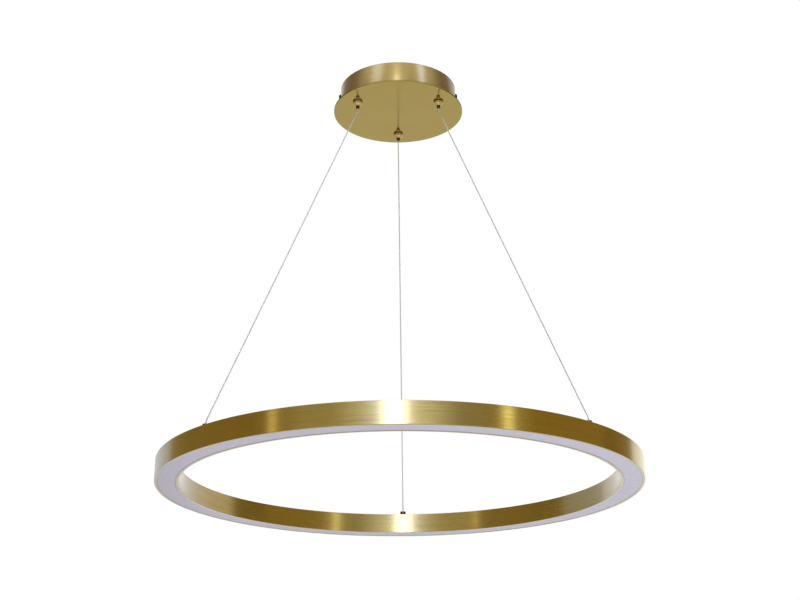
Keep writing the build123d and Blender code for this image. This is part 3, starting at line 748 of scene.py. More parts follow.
@dataclass
class Canopy:
    """Drum, polished plate and the two side screws with their washers."""

    drum_wall: float = 1.2
    drum_corner: float = 1.0
    rim_round: float = 0.35
    plate_round: float = 0.3
    edge_slope: float = 0.9      # faces steeper than this belong to the plate's cut edge
    hole_diameter: float = 10.1
    screw_hole_diameter: float = 4.6
    screw_diameter: float = 4.0
    screw_pitch: float = 0.7
    head_height: float = 2.2
    socket_width: float = 2.5
    socket_depth: float = 1.3
    head_edge: float = 0.2       # straight edge of the screw's head below its dome
    dome_steps: int = 7
    screw_point: float = 0.5
    washer_gap: float = 0.15
    washer_round: float = 0.15
    thread_flat: float = 0.6
    thread_depth: float = 0.22
    stud_diameter: float = 3.0
    stud_pitch: float = 0.5
    stud_flat: float = 0.3       # length of the plain stretch of each turn of its thread
    stud_valley: float = 0.42
    stud_thread_depth: float = 0.12
    stud_point: float = 0.3
    stud_tops: tuple[tuple[float, float, float], ...] = (     # x, y and height above the floor
        (-54.5, 0.0, 6.2), (54.5, 0.0, 6.2), (-27.5, 36.0, 17.2), (-56.0, 23.0, 4.0),
    )
    small_steps: int = 64
    stud_steps: int = 24
    steps: int = 256

    def gripper_centres(self) -> list[Vector]:
        """Axes of the three grippers, in millimetres.

        Returns:
            One point for each gripper.
        """
        return [middle(f"gripper_{wire.value}_body") / MM for wire in Wire]

    def build_drum(self) -> Piece:
        """Spun drum, open to the ceiling, with its holes and welded studs.

        Returns:
            The drum.
        """
        low, high = box_mm("canopy_drum")
        radius, inner = high.x, high.x - self.drum_wall
        floor = low.z + self.drum_wall
        section = [
            (0.0, low.z), (radius, low.z), (radius, high.z), (inner, high.z), (inner, floor), (0.0, floor),
        ]
        drum = spun("drum_spun", section, self.steps, closed=False)
        bevel_where(
            drum, self.drum_corner, 4,
            lambda p: abs(p.z - low.z) < WELD and abs(p.xy.length - radius) < WELD,
        )
        bevel_where(drum, self.rim_round, 3, lambda p: abs(p.z - high.z) < WELD)
        for centre in self.gripper_centres():
            bore(drum, Vector((centre.x, centre.y, low.z)), self.hole_diameter, 4 * self.drum_wall)
        screw = middle("side_washer_right") / MM
        bore(drum, Vector((0.0, 0.0, screw.z)), self.screw_hole_diameter, 3 * radius, across=True)
        studs = [self.build_stud(x, y, floor, top) for x, y, top in self.stud_tops]
        drum = join("drum_spun", [drum, *studs])
        smooth(drum)
        return drum

    def build_stud(self, x: float, y: float, floor: float, top: float) -> Piece:
        """Threaded stud standing on the drum's floor.

        Args:
            x: Place across the canopy.
            y: Place along the canopy.
            floor: Height of the drum's floor.
            top: Height of the stud above it.

        Returns:
            The stud.
        """
        radius, valley = self.stud_diameter / 2, self.stud_diameter / 2 - self.stud_thread_depth
        section = [(0.0, 0.0), (radius, 0.0)]
        for turn in range(int(top / self.stud_pitch) - 1):
            foot = turn * self.stud_pitch
            section += [
                (radius, foot + self.stud_flat), (valley, foot + self.stud_valley),
                (radius, foot + self.stud_pitch),
            ]
        section += [(radius, top - self.stud_point), (radius - self.stud_point, top), (0.0, top)]
        return spun("stud", section, self.stud_steps, Vector((x, y, floor)), closed=False)

    def build_plate(self) -> Piece:
        """Polished cover plate with its three holes and rounded rim.

        Returns:
            The plate.
        """
        low, high = box_mm("canopy_plate")
        section = [(0.0, low.z), (high.x, low.z), (high.x, high.z), (0.0, high.z)]
        plate = spun("plate_polished", section, self.steps, closed=False)
        for centre in self.gripper_centres():
            bore(plate, Vector((centre.x, centre.y, low.z)), self.hole_diameter, 4 * (high.z - low.z))
        soften(plate, self.plate_round, 4)
        return plate

    def build_screw(self, side: Side) -> Piece:
        """Side screw with a low round head, a hexagon socket and a cut thread.

        Args:
            side: Left or right.

        Returns:
            The screw, along the x axis.
        """
        low, high = box_mm(f"side_screw_{side.name.lower()}")
        length, head_radius = high.x - low.x, (high.y - low.y) / 2
        shank, radius = length - self.head_height, self.screw_diameter / 2
        section = [(0.0, 0.0), (radius - self.screw_point, 0.0), (radius, self.screw_point)]
        for turn in range(1, int(shank / self.screw_pitch) - 1):
            foot = turn * self.screw_pitch
            section += [
                (radius, foot), (radius - self.thread_depth, foot + self.screw_pitch / 2),
                (radius, foot + self.thread_flat),
            ]
        dome_low = shank + self.head_edge
        section += [(radius, shank), (head_radius - self.head_edge, shank), (head_radius, dome_low)]
        for step in range(1, self.dome_steps + 1):
            angle = math.pi / 2 * step / self.dome_steps
            rise = (self.head_height - self.head_edge) * math.sin(angle)
            section.append((head_radius * math.cos(angle), dome_low + rise))
        screw = spun(f"side_screw_{side.name.lower()}_turned", section, self.small_steps, closed=False)
        corners = self.socket_width / math.cos(math.pi / 6)
        bore(screw, Vector((0.0, 0.0, length)), corners, 2 * self.socket_depth, sides=6)
        inner_end = Vector((low.x if side is Side.RIGHT else high.x, 0.0, (low.z + high.z) / 2))
        turn = Matrix.Rotation(side.value * math.pi / 2, 4, "Y")
        screw.data.transform(Matrix.Translation(inner_end * MM) @ turn)
        smooth(screw)
        return screw

    def build_washer(self, side: Side) -> Piece:
        """Flat washer with rounded edges.

        Args:
            side: Left or right.

        Returns:
            The washer, on the x axis.
        """
        low, high = box_mm(f"side_washer_{side.name.lower()}")
        thick, outer = high.x - low.x, (high.y - low.y) / 2
        bore_radius = self.screw_diameter / 2 + self.washer_gap
        section = [(bore_radius, 0.0), (outer, 0.0), (outer, thick), (bore_radius, thick)]
        washer = spun(f"side_washer_{side.name.lower()}_stamped", section, self.small_steps)
        soften(washer, self.washer_round)
        place = Vector((low.x, 0.0, (low.z + high.z) / 2))
        washer.data.transform(Matrix.Translation(place * MM) @ Matrix.Rotation(math.pi / 2, 4, "Y"))
        return washer

    def dress(self) -> None:
        """Build the canopy's own pieces and put them on their bodies."""
        fit(self.build_drum(), "canopy", PLATED_BRUSHED.material(), "brushed_brass_plate", "canopy_drum")
        plate = self.build_plate()
        fit(plate, "canopy", PLATED_POLISHED.material(), "polished_brass_plate", "canopy_plate")
        # The cut edge takes the darker finish: duller metal, and painted shade at the rim.
        plate.data.materials.append(PLATED_EDGE_SHADED.material())
        for face in plate.data.polygons:
            face.material_index = int(abs(face.normal.z) < self.edge_slope)
        for side in Side:
            node = f"side_screw_{side.name.lower()}"
            fit(self.build_screw(side), node, BLACK_OXIDE.material(), "black_steel", node)
            node = f"side_washer_{side.name.lower()}"
            fit(self.build_washer(side), node, BLACK_OXIDE.material(), "black_steel", node)


# ---------------------------------------------------------------- wire grippers


@dataclass
class WireGripper:
    """Three grippers alike: flange and cone below the plate, threaded shank above."""

    flange_diameter: float = 13.0
    flange_thick: float = 2.5
    cone_height: float = 3.0
    cone_step: float = 1.2
    mouth_wall: float = 0.85
    mouth_step: float = 0.1      # by how much the mouth is narrower than the tip's widest part
    bush_flange: float = 0.6
    shank_diameter: float = 8.0
    shank_height: float = 15.0
    thread_start: float = 8.6
    thread_pitch: float = 1.0
    thread_depth: float = 0.3
    chamber_diameter: float = 6.23
    seat_top: float = 3.0        # the balls jam in a cone between these heights
    seat_low: float = -3.0
    seat_width: float = 0.3
    edge_round: float = 0.25
    edge_angle: float = 25.0
    steps: int = 96
    coil_wire: float = 0.5
    coil_sides: int = 12
    coil_turns: int = 6
    coil_steps: int = 24

    def section(self) -> list[Point2]:
        """Half section of the body, from the plate's underside.

        Returns:
            (radius, height) points in millimetres.
        """
        low, high = box_mm("gripper_far_release_tip")
        bore_radius = (high.x - low.x) / 2 - self.mouth_step
        top, bottom = -self.bush_flange, -self.bush_flange - self.flange_thick
        mouth = bottom - self.cone_height
        widths = (self.flange_diameter, self.shank_diameter, self.chamber_diameter)
        outer, shank, chamber = (width / 2 for width in widths)
        points = [
            (bore_radius, mouth), (bore_radius + self.mouth_wall, mouth), (outer - self.cone_step, bottom),
            (outer, bottom), (outer, top), (shank, top), (shank, self.thread_start),
        ]
        height, half_turn = self.thread_start, self.thread_pitch / 2
        while height + 3 * half_turn < self.shank_height:
            points += [(shank - self.thread_depth, height + half_turn), (shank, height + 2 * half_turn)]
            height += self.thread_pitch
        points += [
            (shank, self.shank_height), (chamber, self.shank_height), (chamber, self.seat_top),
            (bore_radius + self.seat_width, self.seat_low), (bore_radius, self.seat_low),
        ]
        return points

    def build_spring(self, wire: Wire) -> Piece:
        """Wind the spring that presses the ball cage down.

        Args:
            wire: Which gripper it is in.

        Returns:
            The coil.
        """
        low, high = box_mm(f"gripper_{wire.value}_spring")
        coil_radius = (high.x - low.x - self.coil_wire) / 2
        deselect_all()
        bpy.ops.mesh.primitive_circle_add(vertices=self.coil_sides, radius=self.coil_wire / 2 * MM)
        coil = bpy.context.object
        coil.name = coil.data.name = f"gripper_{wire.value}_coil"
        coil.data.transform(
            Matrix.Translation((coil_radius * MM, 0.0, 0.0)) @ Matrix.Rotation(math.pi / 2, 4, "X"),
        )
        rise = high.z - low.z - self.coil_wire
        apply_modifier(
            coil, "SCREW", axis="Z", angle=FULL_TURN, screw_offset=rise / self.coil_turns * MM,
            iterations=self.coil_turns, steps=self.coil_steps, render_steps=self.coil_steps,
            use_smooth_shade=True,
        )
        place = Vector(((low.x + high.x) / 2, (low.y + high.y) / 2, low.z + self.coil_wire / 2))
        coil.data.transform(Matrix.Translation(place * MM))
        close_ends(coil)
        return coil

    def dress_spring(self, wire: Wire) -> None:
        """Put one spring in its gripper.

        Args:
            wire: Which gripper it is in.
        """
        node = f"gripper_{wire.value}_spring"
        coil = self.build_spring(wire)
        fit(coil, "canopy", SPRING_STEEL.material(), "spring_steel", node)
        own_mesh(coil)

    def dress(self) -> None:
        """Turn one body, copy it to the three places and finish the inner parts."""
        plate_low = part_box("canopy_plate")[0].z / MM
        places = {wire: middle(f"gripper_{wire.value}_body") for wire in Wire}
        centre = Vector((places[Wire.FAR].x / MM, places[Wire.FAR].y / MM, plate_low))
        first = spun("gripper_far_turned", self.section(), self.steps, centre)
        soften(first, self.edge_round, 3, angle=self.edge_angle)
        bodies = {Wire.FAR: first}
        for wire in (Wire.LEFT, Wire.RIGHT):
            bodies[wire] = copied(first, f"gripper_{wire.value}_turned", places[wire] - places[Wire.FAR])
        for wire, body in bodies.items():
            fit(body, "canopy", BRASS_TURNED.material(), "polished_brass", f"gripper_{wire.value}_body")
            self.dress_spring(wire)
            for part, finish in (("release_tip", BRASS_DARK), ("balls", SPRING_STEEL)):
                paint(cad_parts[f"gripper_{wire.value}_{part}"], finish.material())


# ---------------------------------------------------------------- suspension wires


@dataclass
class SuspensionWire:
    """Stainless rope of twisted strands, drawn tight between two fittings."""

    wire: Wire
    diameter: float = 1.5
    strands: int = 12
    lay: float = 12.0
    groove: float = 0.975        # radius between two strands, as a share of the whole
    stub: float = 4.0
    end_shows: float = 1.0       # how far the held end stands out of its post
    bend_radius: float = 10.0
    grip_depth: float = 6.75     # how far the lower end goes down into its post
    points_per_strand: int = 4
    groove_share: float = 0.45   # a point is in a groove past this share of the way between two strands
    steps_per_lay: int = 16
    route_steps: int = 24
    least_handle: float = 0.2    # handle length where the route is straight

    def stops(self) -> list[tuple[Vector, Vector]]:
        """Route of the wire: places in metres, each with its direction.

        Returns:
            The mouth, both ends of the two bends, the top of the end held in the post,
            and the lower end.
        """
        tip_low, tip_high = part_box(f"gripper_{self.wire.value}_release_tip")
        post_low, post_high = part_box(f"ring_post_{self.wire.value}")
        tip, post = (tip_low + tip_high) / 2, (post_low + post_high) / 2
        down = Vector((0.0, 0.0, -1.0))
        mouth = Vector((tip.x, tip.y, tip_low.z))
        upper = mouth + down * self.stub * MM
        lower = Vector((post.x, post.y, post_high.z + self.stub * MM))
        split = Vector((post.x, post.y, post_high.z + self.end_shows * MM))
        end = Vector((post.x, post.y, post_high.z - self.grip_depth * MM))
        along = (lower - upper).normalized()
        reach = self.bend_radius * MM * math.tan(along.angle(down) / 2)
        return [
            (mouth, down), (upper - down * reach, down), (upper + along * reach, along),
            (lower - along * reach, along), (lower + down * reach, down), (split, down), (end, down),
        ]

    def build_route(self, stops: list[tuple[Vector, Vector]]) -> tuple[Piece, float]:
        """Curve that the rope follows: straight runs with an arc at each bend.

        Args:
            stops: Places and directions along the route.

        Returns:
            The curve and its length in metres.
        """
        bend = stops[0][1].angle(stops[len(stops) // 2][1])
        arc_handle = 4 / 3 * math.tan(bend / 4) * self.bend_radius      # makes the curve an arc
        handle = max(arc_handle, self.least_handle) * MM
        deselect_all()
        bpy.ops.curve.primitive_bezier_curve_add(radius=MM)
        route = bpy.context.object
        spline = route.data.splines[0]
        spline.bezier_points.add(len(stops) - len(spline.bezier_points))
        for point, (place, direction) in zip(spline.bezier_points, stops):
            point.handle_left_type = point.handle_right_type = "FREE"
            point.co = place
            point.handle_left, point.handle_right = place - direction * handle, place + direction * handle
        route.data.twist_mode = "MINIMUM"
        route.data.resolution_u = self.route_steps
        return route, spline.calc_length()

    def build(self, name: str, stops: list[tuple[Vector, Vector]]) -> Piece:
        """Twist the rope's section along a route.

        Args:
            name: The piece's name.
            stops: Places and directions along the route.

        Returns:
            The rope, at the origin.
        """
        route, length = self.build_route(stops)
        deselect_all()
        bpy.ops.mesh.primitive_circle_add(
            vertices=self.strands * self.points_per_strand, radius=self.diameter / 2 * MM,
        )
        rope = bpy.context.object
        rope.name = rope.data.name = name
        with editing(rope):
            pick(rope, Pick.VERTICES, self.is_groove)
            bpy.ops.transform.resize(value=(self.groove, self.groove, 1.0))
        turns = max(1, round(length / MM / self.lay))
        apply_modifier(
            rope, "SCREW", axis="Z", angle=FULL_TURN, screw_offset=length / turns, iterations=turns,
            steps=self.steps_per_lay, render_steps=self.steps_per_lay, use_smooth_shade=True,
        )
        apply_modifier(rope, "CURVE", object=route, deform_axis="POS_Z")
        bpy.data.objects.remove(route)
        close_ends(rope)
        log.info("%s is %.1f mm long", rope.name, length / MM)
        return rope

    def is_groove(self, point: Vector) -> bool:
        """Whether a point of the section lies between two strands.

        Args:
            point: A point in millimetres.

        Returns:
            True for the points that are drawn in.
        """
        share = math.atan2(point.y, point.x) / FULL_TURN * self.strands
        return abs(share - round(share)) > self.groove_share

    def dress(self) -> None:
        """Hang the free stretch from the canopy, and leave the held end in its post.

        The short end goes up with the ring.
        """
        *free, end = self.stops()
        rope = self.build(f"wire_{self.wire.value}_stranded", free)
        fit(rope, "canopy", STRANDED.material(), "stainless_wire", f"wire_{self.wire.value}")
        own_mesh(rope)
        held = self.build(f"wire_{self.wire.value}_held_end", [free[-1], end])
        fit(held, "ring", STRANDED.material(), "stainless_wire")
        paint(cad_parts[f"wire_tail_{self.wire.value}"], STRANDED.material())


# ---------------------------------------------------------------- ring


@dataclass
class RingLight:
    """Rolled channel, top strip and opal diffuser."""

    width: float = 29.0
    wall: float = 1.6
    lip_width: float = 3.5
    lip_thick: float = 1.6
    web_low: float = 9.4
    web_top: float = 11.0
    ledge_width: float = 1.5
    ledge_thick: float = 1.6
    cover_thick: float = 2.0
    cover_gap: float = 0.15
    diffuser_gap: float = 0.15
    diffuser_recess: float = 0.3
    flange_thick: float = 1.6
    flange_gap: float = 0.5
    edge_round: float = 0.4
    cover_round: float = 0.2
    diffuser_round: float = 0.25
    collar_hole: float = 8.3
    steps: int = 512

    def band(self, inset: float, low: float, high: float) -> list[Point2]:
        """Corners of a rectangle across the ring's section.

        Args:
            inset: Distance from both side faces.
            low: Lower height above the ring's underside.
            high: Upper height.

        Returns:
            The four corners, from the outer lower one.
        """
        radius = box_mm("ring_channel")[1].x
        outer, inner = radius - inset, radius - self.width + inset
        return [(outer, low), (outer, high), (inner, high), (inner, low)]

    def half_channel(self, side: int) -> list[Point2]:
        """Outline of one wall with its lip, the cover's seat and the ledge under that.

        Args:
            side: 1 for the outer wall and -1 for the inner one.

        Returns:
            Points from the lip's root round the wall and down to the web's top, as offsets
            from the middle of the section.
        """
        half, height = self.width / 2, self.height()
        cover_low = height - self.cover_thick
        ledge_low = cover_low - self.ledge_thick
        inside = half - self.wall
        lip, ledge = half - self.lip_width, inside - self.ledge_width
        offsets = [
            (inside, self.lip_thick), (lip, self.lip_thick), (lip, 0.0), (half, 0.0), (half, height),
            (inside, height), (inside, cover_low), (ledge, cover_low), (ledge, ledge_low),
            (inside, ledge_low), (inside, self.web_top),
        ]
        return [(side * x, z) for x, z in offsets]

    def height(self) -> float:
        """Height of the ring's section in millimetres."""
        low, high = box_mm("ring_channel")
        return high.z - low.z

    def build_channel(self) -> Piece:
        """Rolled channel: two walls, a web between them, lips and ledges.

        Returns:
            The channel.
        """
        low, high = box_mm("ring_channel")
        middle_radius = high.x - self.width / 2
        inside = self.width / 2 - self.wall
        under_web = [(-inside, self.web_low), (inside, self.web_low)]
        offsets = [*self.half_channel(1), *reversed(self.half_channel(-1)), *under_web]
        section = [(middle_radius + x, z) for x, z in offsets]
        channel = spun("ring_rolled_channel", section, self.steps, Vector((0.0, 0.0, low.z)))
        soften(channel, self.edge_round, 3)
        return channel

    def build_cover(self) -> Piece:
        """Flush strip on top, with a hole for each post.

        Returns:
            The strip.
        """
        low = box_mm("ring_channel")[0]
        height = self.height()
        section = self.band(self.wall + self.cover_gap, height - self.cover_thick, height)
        cover = spun("ring_top_strip", section, self.steps, Vector((0.0, 0.0, low.z)))
        for wire in Wire:
            post = middle(f"ring_post_{wire.value}") / MM
            bore(cover, Vector((post.x, post.y, low.z + height)), self.collar_hole, 3 * self.cover_thick)
        soften(cover, self.cover_round)
        return cover

    def build_diffuser(self) -> Piece:
        """Opal strip, nearly flush between the lips, with a flange that rests on them.

        Returns:
            The diffuser.
        """
        low = box_mm("ring_channel")[0]
        face = self.band(self.lip_width + self.diffuser_gap, self.diffuser_recess, self.lip_thick)
        flange = self.band(self.wall + self.flange_gap, self.lip_thick, self.lip_thick + self.flange_thick)
        section = [*face[:2], *flange, *face[2:]]
        diffuser = spun("diffuser_opal_strip", section, self.steps, Vector((0.0, 0.0, low.z)))
        soften(diffuser, self.diffuser_round)
        return diffuser

    def dress(self) -> None:
        """Build the ring's pieces and put them on the ring."""
        metal, slot = ANODISED_BRUSHED.material(), "brushed_brass_aluminium"
        fit(self.build_channel(), "ring", metal, slot, "ring_channel")
        fit(self.build_cover(), "ring", metal, slot, "ring_cover")
        fit(self.build_diffuser(), "ring", OPAL.material(), "opal_acrylic", "diffuser")


@dataclass
class RingPost:
    """Three posts alike, each on a nylon collar, which take the lower ends of the wires."""

    diameter: float = 8.0
    height: float = 6.5
    collar_flange: float = 0.8
    collar_over: float = 0.8
    collar_sleeve: float = 8.2
    cover_thick: float = 2.0
    shank_diameter: float = 6.0
    bore_diameter: float = 4.0
    wire_bore: float = 1.8
    roof: float = 2.5
    waist_height: float = 2.2
    waist_width: float = 0.7
    waist_depth: float = 0.25
    mouth_chamfer: float = 0.4
    shank_gap: float = 0.05
    edge_round: float = 0.3
    collar_round: float = 0.2
    post_steps: int = 72
    collar_steps: int = 64

    def post_section(self, shank_low: float) -> list[Point2]:
        """Half section of a post, from the ring's top.

        Args:
            shank_low: Height of the shank's lower end.

        Returns:
            (radius, height) points in millimetres.
        """
        outer, shank, hollow, wire = (
            d / 2 for d in (self.diameter, self.shank_diameter, self.bore_diameter, self.wire_bore)
        )
        waist, waist_top = outer - self.waist_depth, self.waist_height + self.waist_width
        roof_low, chamfer = self.height - self.roof, self.mouth_chamfer
        return [
            (hollow, shank_low), (shank, shank_low), (shank, self.collar_flange),
            (outer, self.collar_flange), (outer, self.waist_height), (waist, self.waist_height),
            (waist, waist_top), (outer, waist_top), (outer, self.height), (wire + chamfer, self.height),
            (wire, self.height - chamfer), (wire, roof_low), (hollow, roof_low),
        ]

    def collar_section(self) -> list[Point2]:
        """Half section of a collar, from the ring's top.

        Returns:
            (radius, height) points in millimetres.
        """
        bore_radius, sleeve = self.shank_diameter / 2 + self.shank_gap, self.collar_sleeve / 2
        flange = self.diameter / 2 + self.collar_over
        return [
            (bore_radius, -self.cover_thick), (sleeve, -self.cover_thick), (sleeve, 0.0), (flange, 0.0),
            (flange, self.collar_flange), (bore_radius, self.collar_flange),
        ]

    def dress(self) -> None:
        """Build three posts and their collars and put them on the ring."""
        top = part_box("ring_channel")[1].z / MM
        collars = []
        for wire in Wire:
            node = f"ring_post_{wire.value}"
            place = middle(node) / MM
            centre = Vector((place.x, place.y, top))
            shank_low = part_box(node)[0].z / MM - top
            post = spun(f"post_{wire.value}_turned", self.post_section(shank_low), self.post_steps, centre)
            soften(post, self.edge_round, 3)
            fit(post, "ring", BRASS_BURNISHED.material(), "polished_brass", node)
            collars.append(spun("collar", self.collar_section(), self.collar_steps, centre))
        collar_set = join("post_collars_moulded", collars)
        soften(collar_set, self.collar_round)
        fit(collar_set, "ring", NYLON.material(), "nylon", "post_collars")


# ---------------------------------------------------------------- studio


@dataclass(frozen=True)
class Card:
    """Upright card or light panel that the metal mirrors. The camera doesn't see it.

    The azimuth is where the card's middle stands, in degrees from the camera's side towards
    +x. Half width and soft edge are in degrees too. Heights and the distance from the axis
    are in metres. A nearer card hides what stands behind it.
    """

    name: str
    azimuth: float
    half_width: float
    soft: float
    level: float
    colour: str
    low: float
    high: float
    distance: float
    soft_low: float = 0.1
    soft_high: float = 0.1
    steps: int = 48

    def mask(self, tree: NodeTree) -> Socket:
        """Share of the card that shows, fading at its edges.

        Args:
            tree: The material's nodes.

        Returns:
            The share's output socket.
        """
        x, y, z = add_node(tree, "ShaderNodeSeparateXYZ", {0: object_place(tree)}).outputs
        angle = compute(tree, "ARCTAN2", x, compute(tree, "MULTIPLY", y, -1.0))
        away = compute(tree, "ABSOLUTE", compute(tree, "SUBTRACT", angle, math.radians(self.azimuth)))
        across = self.fade(tree, away, math.radians(self.half_width), -math.radians(self.soft))
        below = self.fade(tree, z, self.low, self.soft_low)
        above = self.fade(tree, z, self.high, -self.soft_high)
        return compute(tree, "MULTIPLY", across, compute(tree, "MULTIPLY", below, above))

    def fade(self, tree: NodeTree, value: Socket, edge: float, width: float) -> Socket:
        """Smooth step from nothing to all.

        Args:
            tree: The material's nodes.
            value: What is measured.
            edge: Value where half shows.
            width: How far the value goes from nothing to all, negative where it falls.

        Returns:
            The step's output socket.
        """
        step = add_node(
            tree, "ShaderNodeMapRange", {0: value, 1: edge - width / 2, 2: edge + width / 2, 3: 0.0, 4: 1.0},
            interpolation_type="SMOOTHSTEP",
        )
        return step.outputs[0]

    def build(self) -> None:
        """Bend the card round the chandelier, light it and hide it from camera, diffuse, shadow and volume
        rays.
        """
        half = self.half_width + self.soft / 2
        reach = self.distance / MM
        section = [(reach, (self.low - self.soft_low) / MM), (reach, (self.high + self.soft_high) / MM)]
        card = spun(f"card_{self.name}", section, self.steps, angle=math.radians(2 * half), closed=False)
        start = math.radians(self.azimuth + half) - math.pi / 2
        card.data.transform(Matrix.Rotation(start, 4, "Z"))
        material, tree = new_material(f"card_{self.name}")
        light = add_node(tree, "ShaderNodeEmission", {"Color": linear(self.colour), "Strength": self.level})
        clear = add_node(tree, "ShaderNodeBsdfTransparent")
        links = {0: self.mask(tree), 1: clear.outputs[0], 2: light.outputs[0]}
        mixed = add_node(tree, "ShaderNodeMixShader", links)
        add_node(tree, "ShaderNodeOutputMaterial", {"Surface": mixed.outputs[0]})
        material.cycles.emission_sampling = "NONE"
        paint(card, material)
        card.visible_camera = card.visible_diffuse = card.visible_shadow = False
        card.visible_volume_scatter = False


@dataclass
class Studio:
    """Camera, world, lamps, floor and the cards that shape the reflections.

    The camera's place and angles are fitted to the edges in the photograph. Places are in
    metres, and angles of the camera in radians.
    """

    camera_place: tuple[float, float, float] = (0.0, -1.6906, -0.9457)
    pitch: float = 0.3609
    yaw: float = 0.0008
    roll: float = -0.0046
    lens: float = 62.51
    sensor: float = 36.0
    clip: tuple[float, float] = (0.01, 100.0)
    floor_height: float = -3.2
    floor_size: float = 24.0
    floor_glow: float = 0.5         # so that the metal mirrors it paler than it is lit
    floor_lift: float = 0.085       # the same for the camera, which sees it nearly white
    ambient: float = 0.6
    lamp_aim: tuple[float, float, float] = (0.0, 0.0, -0.3)
    cards: tuple[Card, ...] = (
        Card("back_left", -134.0, 22.0, 2.0, 0.67, "#FFFFFF", -0.8, 2.2, distance=0.985),
        Card("back_right_high", 138.0, 18.0, 2.0, 0.66, "#FFFFFF", 0.15, 2.2, distance=0.985),
        Card("back_right", 134.0, 17.0, 2.0, 1.1, "#FFF8E4", -0.8, 0.15, distance=0.98),
        Card("front_left", -35.0, 35.0, 2.0, 0.46, "#FFDD7C", -0.9, 1.4, distance=1.78),
        Card("front_right", 35.0, 35.0, 2.0, 0.53, "#FFDA6B", -0.9, 1.4, distance=1.782),
        Card("side_left", -85.5, 27.5, 2.0, 0.46, "#FFDD7C", -0.8, 0.15, soft_high=0.2, distance=0.97),
        Card("side_right", 87.5, 29.5, 2.0, 0.53, "#FFDA6B", -0.8, 0.15, soft_high=0.2, distance=0.972),
        Card("surround_high", -7.0, 130.5, 3.0, 0.36, "#FFEBC4", 0.15, 2.2, soft_low=0.2, distance=0.96),
        Card("front_high", 0.0, 78.0, 40.0, 1.38, "#FFFCEA", 0.3, 1.5, distance=0.95),
        Card("end_left", -101.0, 12.0, 6.0, 0.42, "#FFDD7C", -0.8, 0.1, distance=0.955),
        Card("end_right", 104.0, 13.0, 6.0, 0.38, "#FFD66A", -0.8, 0.1, distance=0.955),
        Card("left_low", -31.5, 14.0, 13.0, 0.74, "#FFF2B8", -0.8, 0.5, distance=1.74),
        Card("right_low", 23.0, 13.0, 8.0, 0.6, "#FFF2C8", -0.8, 0.5, distance=1.742),
        Card("left_band", -49.0, 1.4, 1.0, 2.3, "#FFF2B8", -0.6, 0.1, distance=0.93),
        Card("right_tail", 46.0, 3.5, 4.0, 0.72, "#FFE88C", -0.6, 0.1, distance=0.932),
        Card("right_strip", 41.2, 1.9, 1.2, 3.3, "#FFFFD0", -0.6, 0.1, distance=0.93),
        Card("box_left", -42.0, 10.0, 12.0, 3.7, "#D2E0F8", 0.3, 1.4, distance=0.92),
        Card("box_right", 47.5, 6.0, 7.0, 6.2, "#AFC3F5", 0.3, 1.4, distance=0.92),
        Card("key_glow", -1.0, 17.0, 24.0, 2.35, "#F3FFF9", -0.4, 0.45, distance=1.72),
        Card("key_halo", -3.2, 7.0, 9.0, 5.6, "#B4C4FF", -0.4, 0.4, distance=1.71),
        Card("key", -2.0, 3.9, 6.0, 18.0, "#DCE4FF", -0.4, 0.35, distance=1.7),
    )

    def place_camera(self) -> None:
        """Stand the camera where the photograph was taken."""
        data = bpy.data.cameras.new("camera")
        data.lens, data.sensor_width = self.lens, self.sensor
        data.clip_start, data.clip_end = self.clip
        camera = bpy.data.objects.new("camera", data)
        bpy.context.scene.collection.objects.link(camera)
        turn = Euler((math.pi / 2 + self.pitch, 0.0, -self.yaw)).to_matrix().to_4x4()
        roll = Matrix.Rotation(self.roll, 4, "Z")
        camera.matrix_world = Matrix.Translation(self.camera_place) @ turn @ roll
        bpy.context.scene.camera = camera

    def seen_directly(self, tree: NodeTree) -> Socket:
        """1 for camera, glossy and transmission rays, which see the white background.

        Args:
            tree: The world's or the floor's nodes.

        Returns:
            The output socket.
        """
        rays = add_node(tree, "ShaderNodeLightPath").outputs
        seen = compute(tree, "MAXIMUM", rays["Is Camera Ray"], rays["Is Glossy Ray"])
        return compute(tree, "MAXIMUM", seen, rays["Is Transmission Ray"])

    def build_world(self) -> None:
        """Even light from all round, and pure white where it is looked at."""
        world = bpy.data.worlds.new("studio")
        world.use_nodes = True
        tree = world.node_tree
        tree.nodes.clear()
        links = {0: self.seen_directly(tree), 3: self.ambient, 4: 1.0}
        strength = add_node(tree, "ShaderNodeMapRange", links)
        background = add_node(
            tree, "ShaderNodeBackground", {"Color": linear("#FFFFFF"), "Strength": strength.outputs[0]},
        )
        add_node(tree, "ShaderNodeOutputWorld", {"Surface": background.outputs[0]})
        bpy.context.scene.world = world

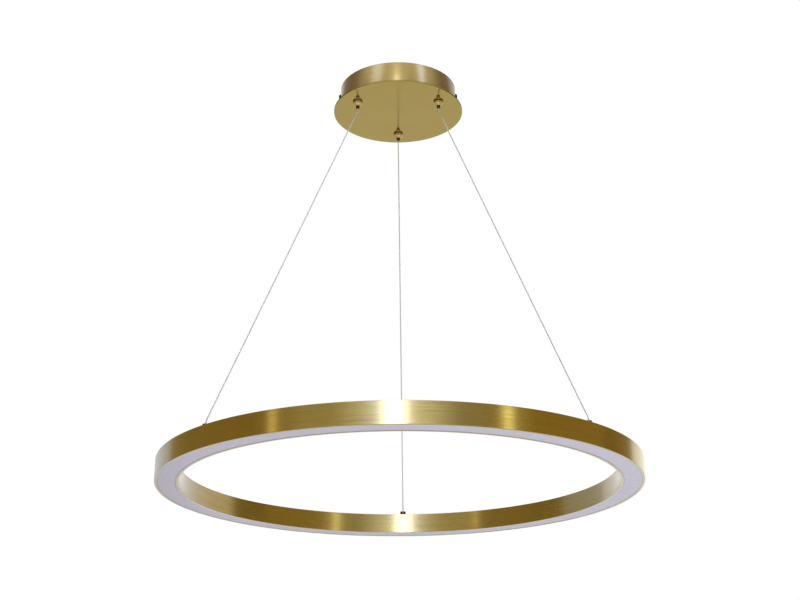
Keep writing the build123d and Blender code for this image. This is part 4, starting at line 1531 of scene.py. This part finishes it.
    def build_floor(self) -> None:
        """Plain pale floor far below, which takes a soft shadow."""
        deselect_all()
        bpy.ops.mesh.primitive_plane_add(size=self.floor_size)
        floor = bpy.context.object
        floor.name = "floor"
        floor.data.transform(Matrix.Translation((0.0, 0.0, self.floor_height)))
        material, tree = new_material("floor_pale")
        pale = add_node(tree, "ShaderNodeBsdfDiffuse", {"Color": linear("#D8D8D6")})
        rays = add_node(tree, "ShaderNodeLightPath").outputs
        mirrored = compute(tree, "MULTIPLY", self.seen_directly(tree), self.floor_glow)
        strength = compute(tree, "MULTIPLY_ADD", rays["Is Camera Ray"], self.floor_lift, mirrored)
        glow = add_node(tree, "ShaderNodeEmission", {"Color": linear("#FFFFFF"), "Strength": strength})
        both = add_node(tree, "ShaderNodeAddShader", {0: pale.outputs[0], 1: glow.outputs[0]})
        add_node(tree, "ShaderNodeOutputMaterial", {"Surface": both.outputs[0]})
        paint(floor, material)

    def add_lamp(self, name: str, place: Vector, size: float, power: float) -> None:
        """Soft area lamp that shades without showing in the metal.

        Args:
            name: The lamp's name.
            place: Where it hangs, in metres.
            size: Side of its square face in metres.
            power: Watts.
        """
        data = bpy.data.lights.new(name, "AREA")
        data.shape, data.size, data.energy = "SQUARE", size, power
        lamp = bpy.data.objects.new(name, data)
        bpy.context.scene.collection.objects.link(lamp)
        aim = Vector(self.lamp_aim) - place
        lamp.matrix_world = Matrix.Translation(place) @ aim.to_track_quat("-Z", "Y").to_matrix().to_4x4()
        lamp.visible_glossy = lamp.visible_camera = False

    def build(self) -> None:
        """Set up the whole studio."""
        bpy.context.scene.view_settings.view_transform = "Standard"
        self.place_camera()
        self.build_world()
        self.build_floor()
        self.add_lamp("lamp_over", Vector((0.8, -1.2, 2.4)), 1.6, 24.0)
        self.add_lamp("lamp_low", Vector((1.2, -0.9, -1.5)), 0.8, 14.0)
        for card in self.cards:
            card.build()


# ---------------------------------------------------------------- the whole


def main() -> None:
    """Build the studio and every sub-assembly in order."""
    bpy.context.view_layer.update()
    Studio().build()
    for node, finish in CARRIED_OVER.items():
        paint(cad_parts[node], finish.material())
    Canopy().dress()
    WireGripper().dress()
    for wire in Wire:
        SuspensionWire(wire).dress()
    RingLight().dress()
    RingPost().dress()


if __name__ == "__main__":
    main()
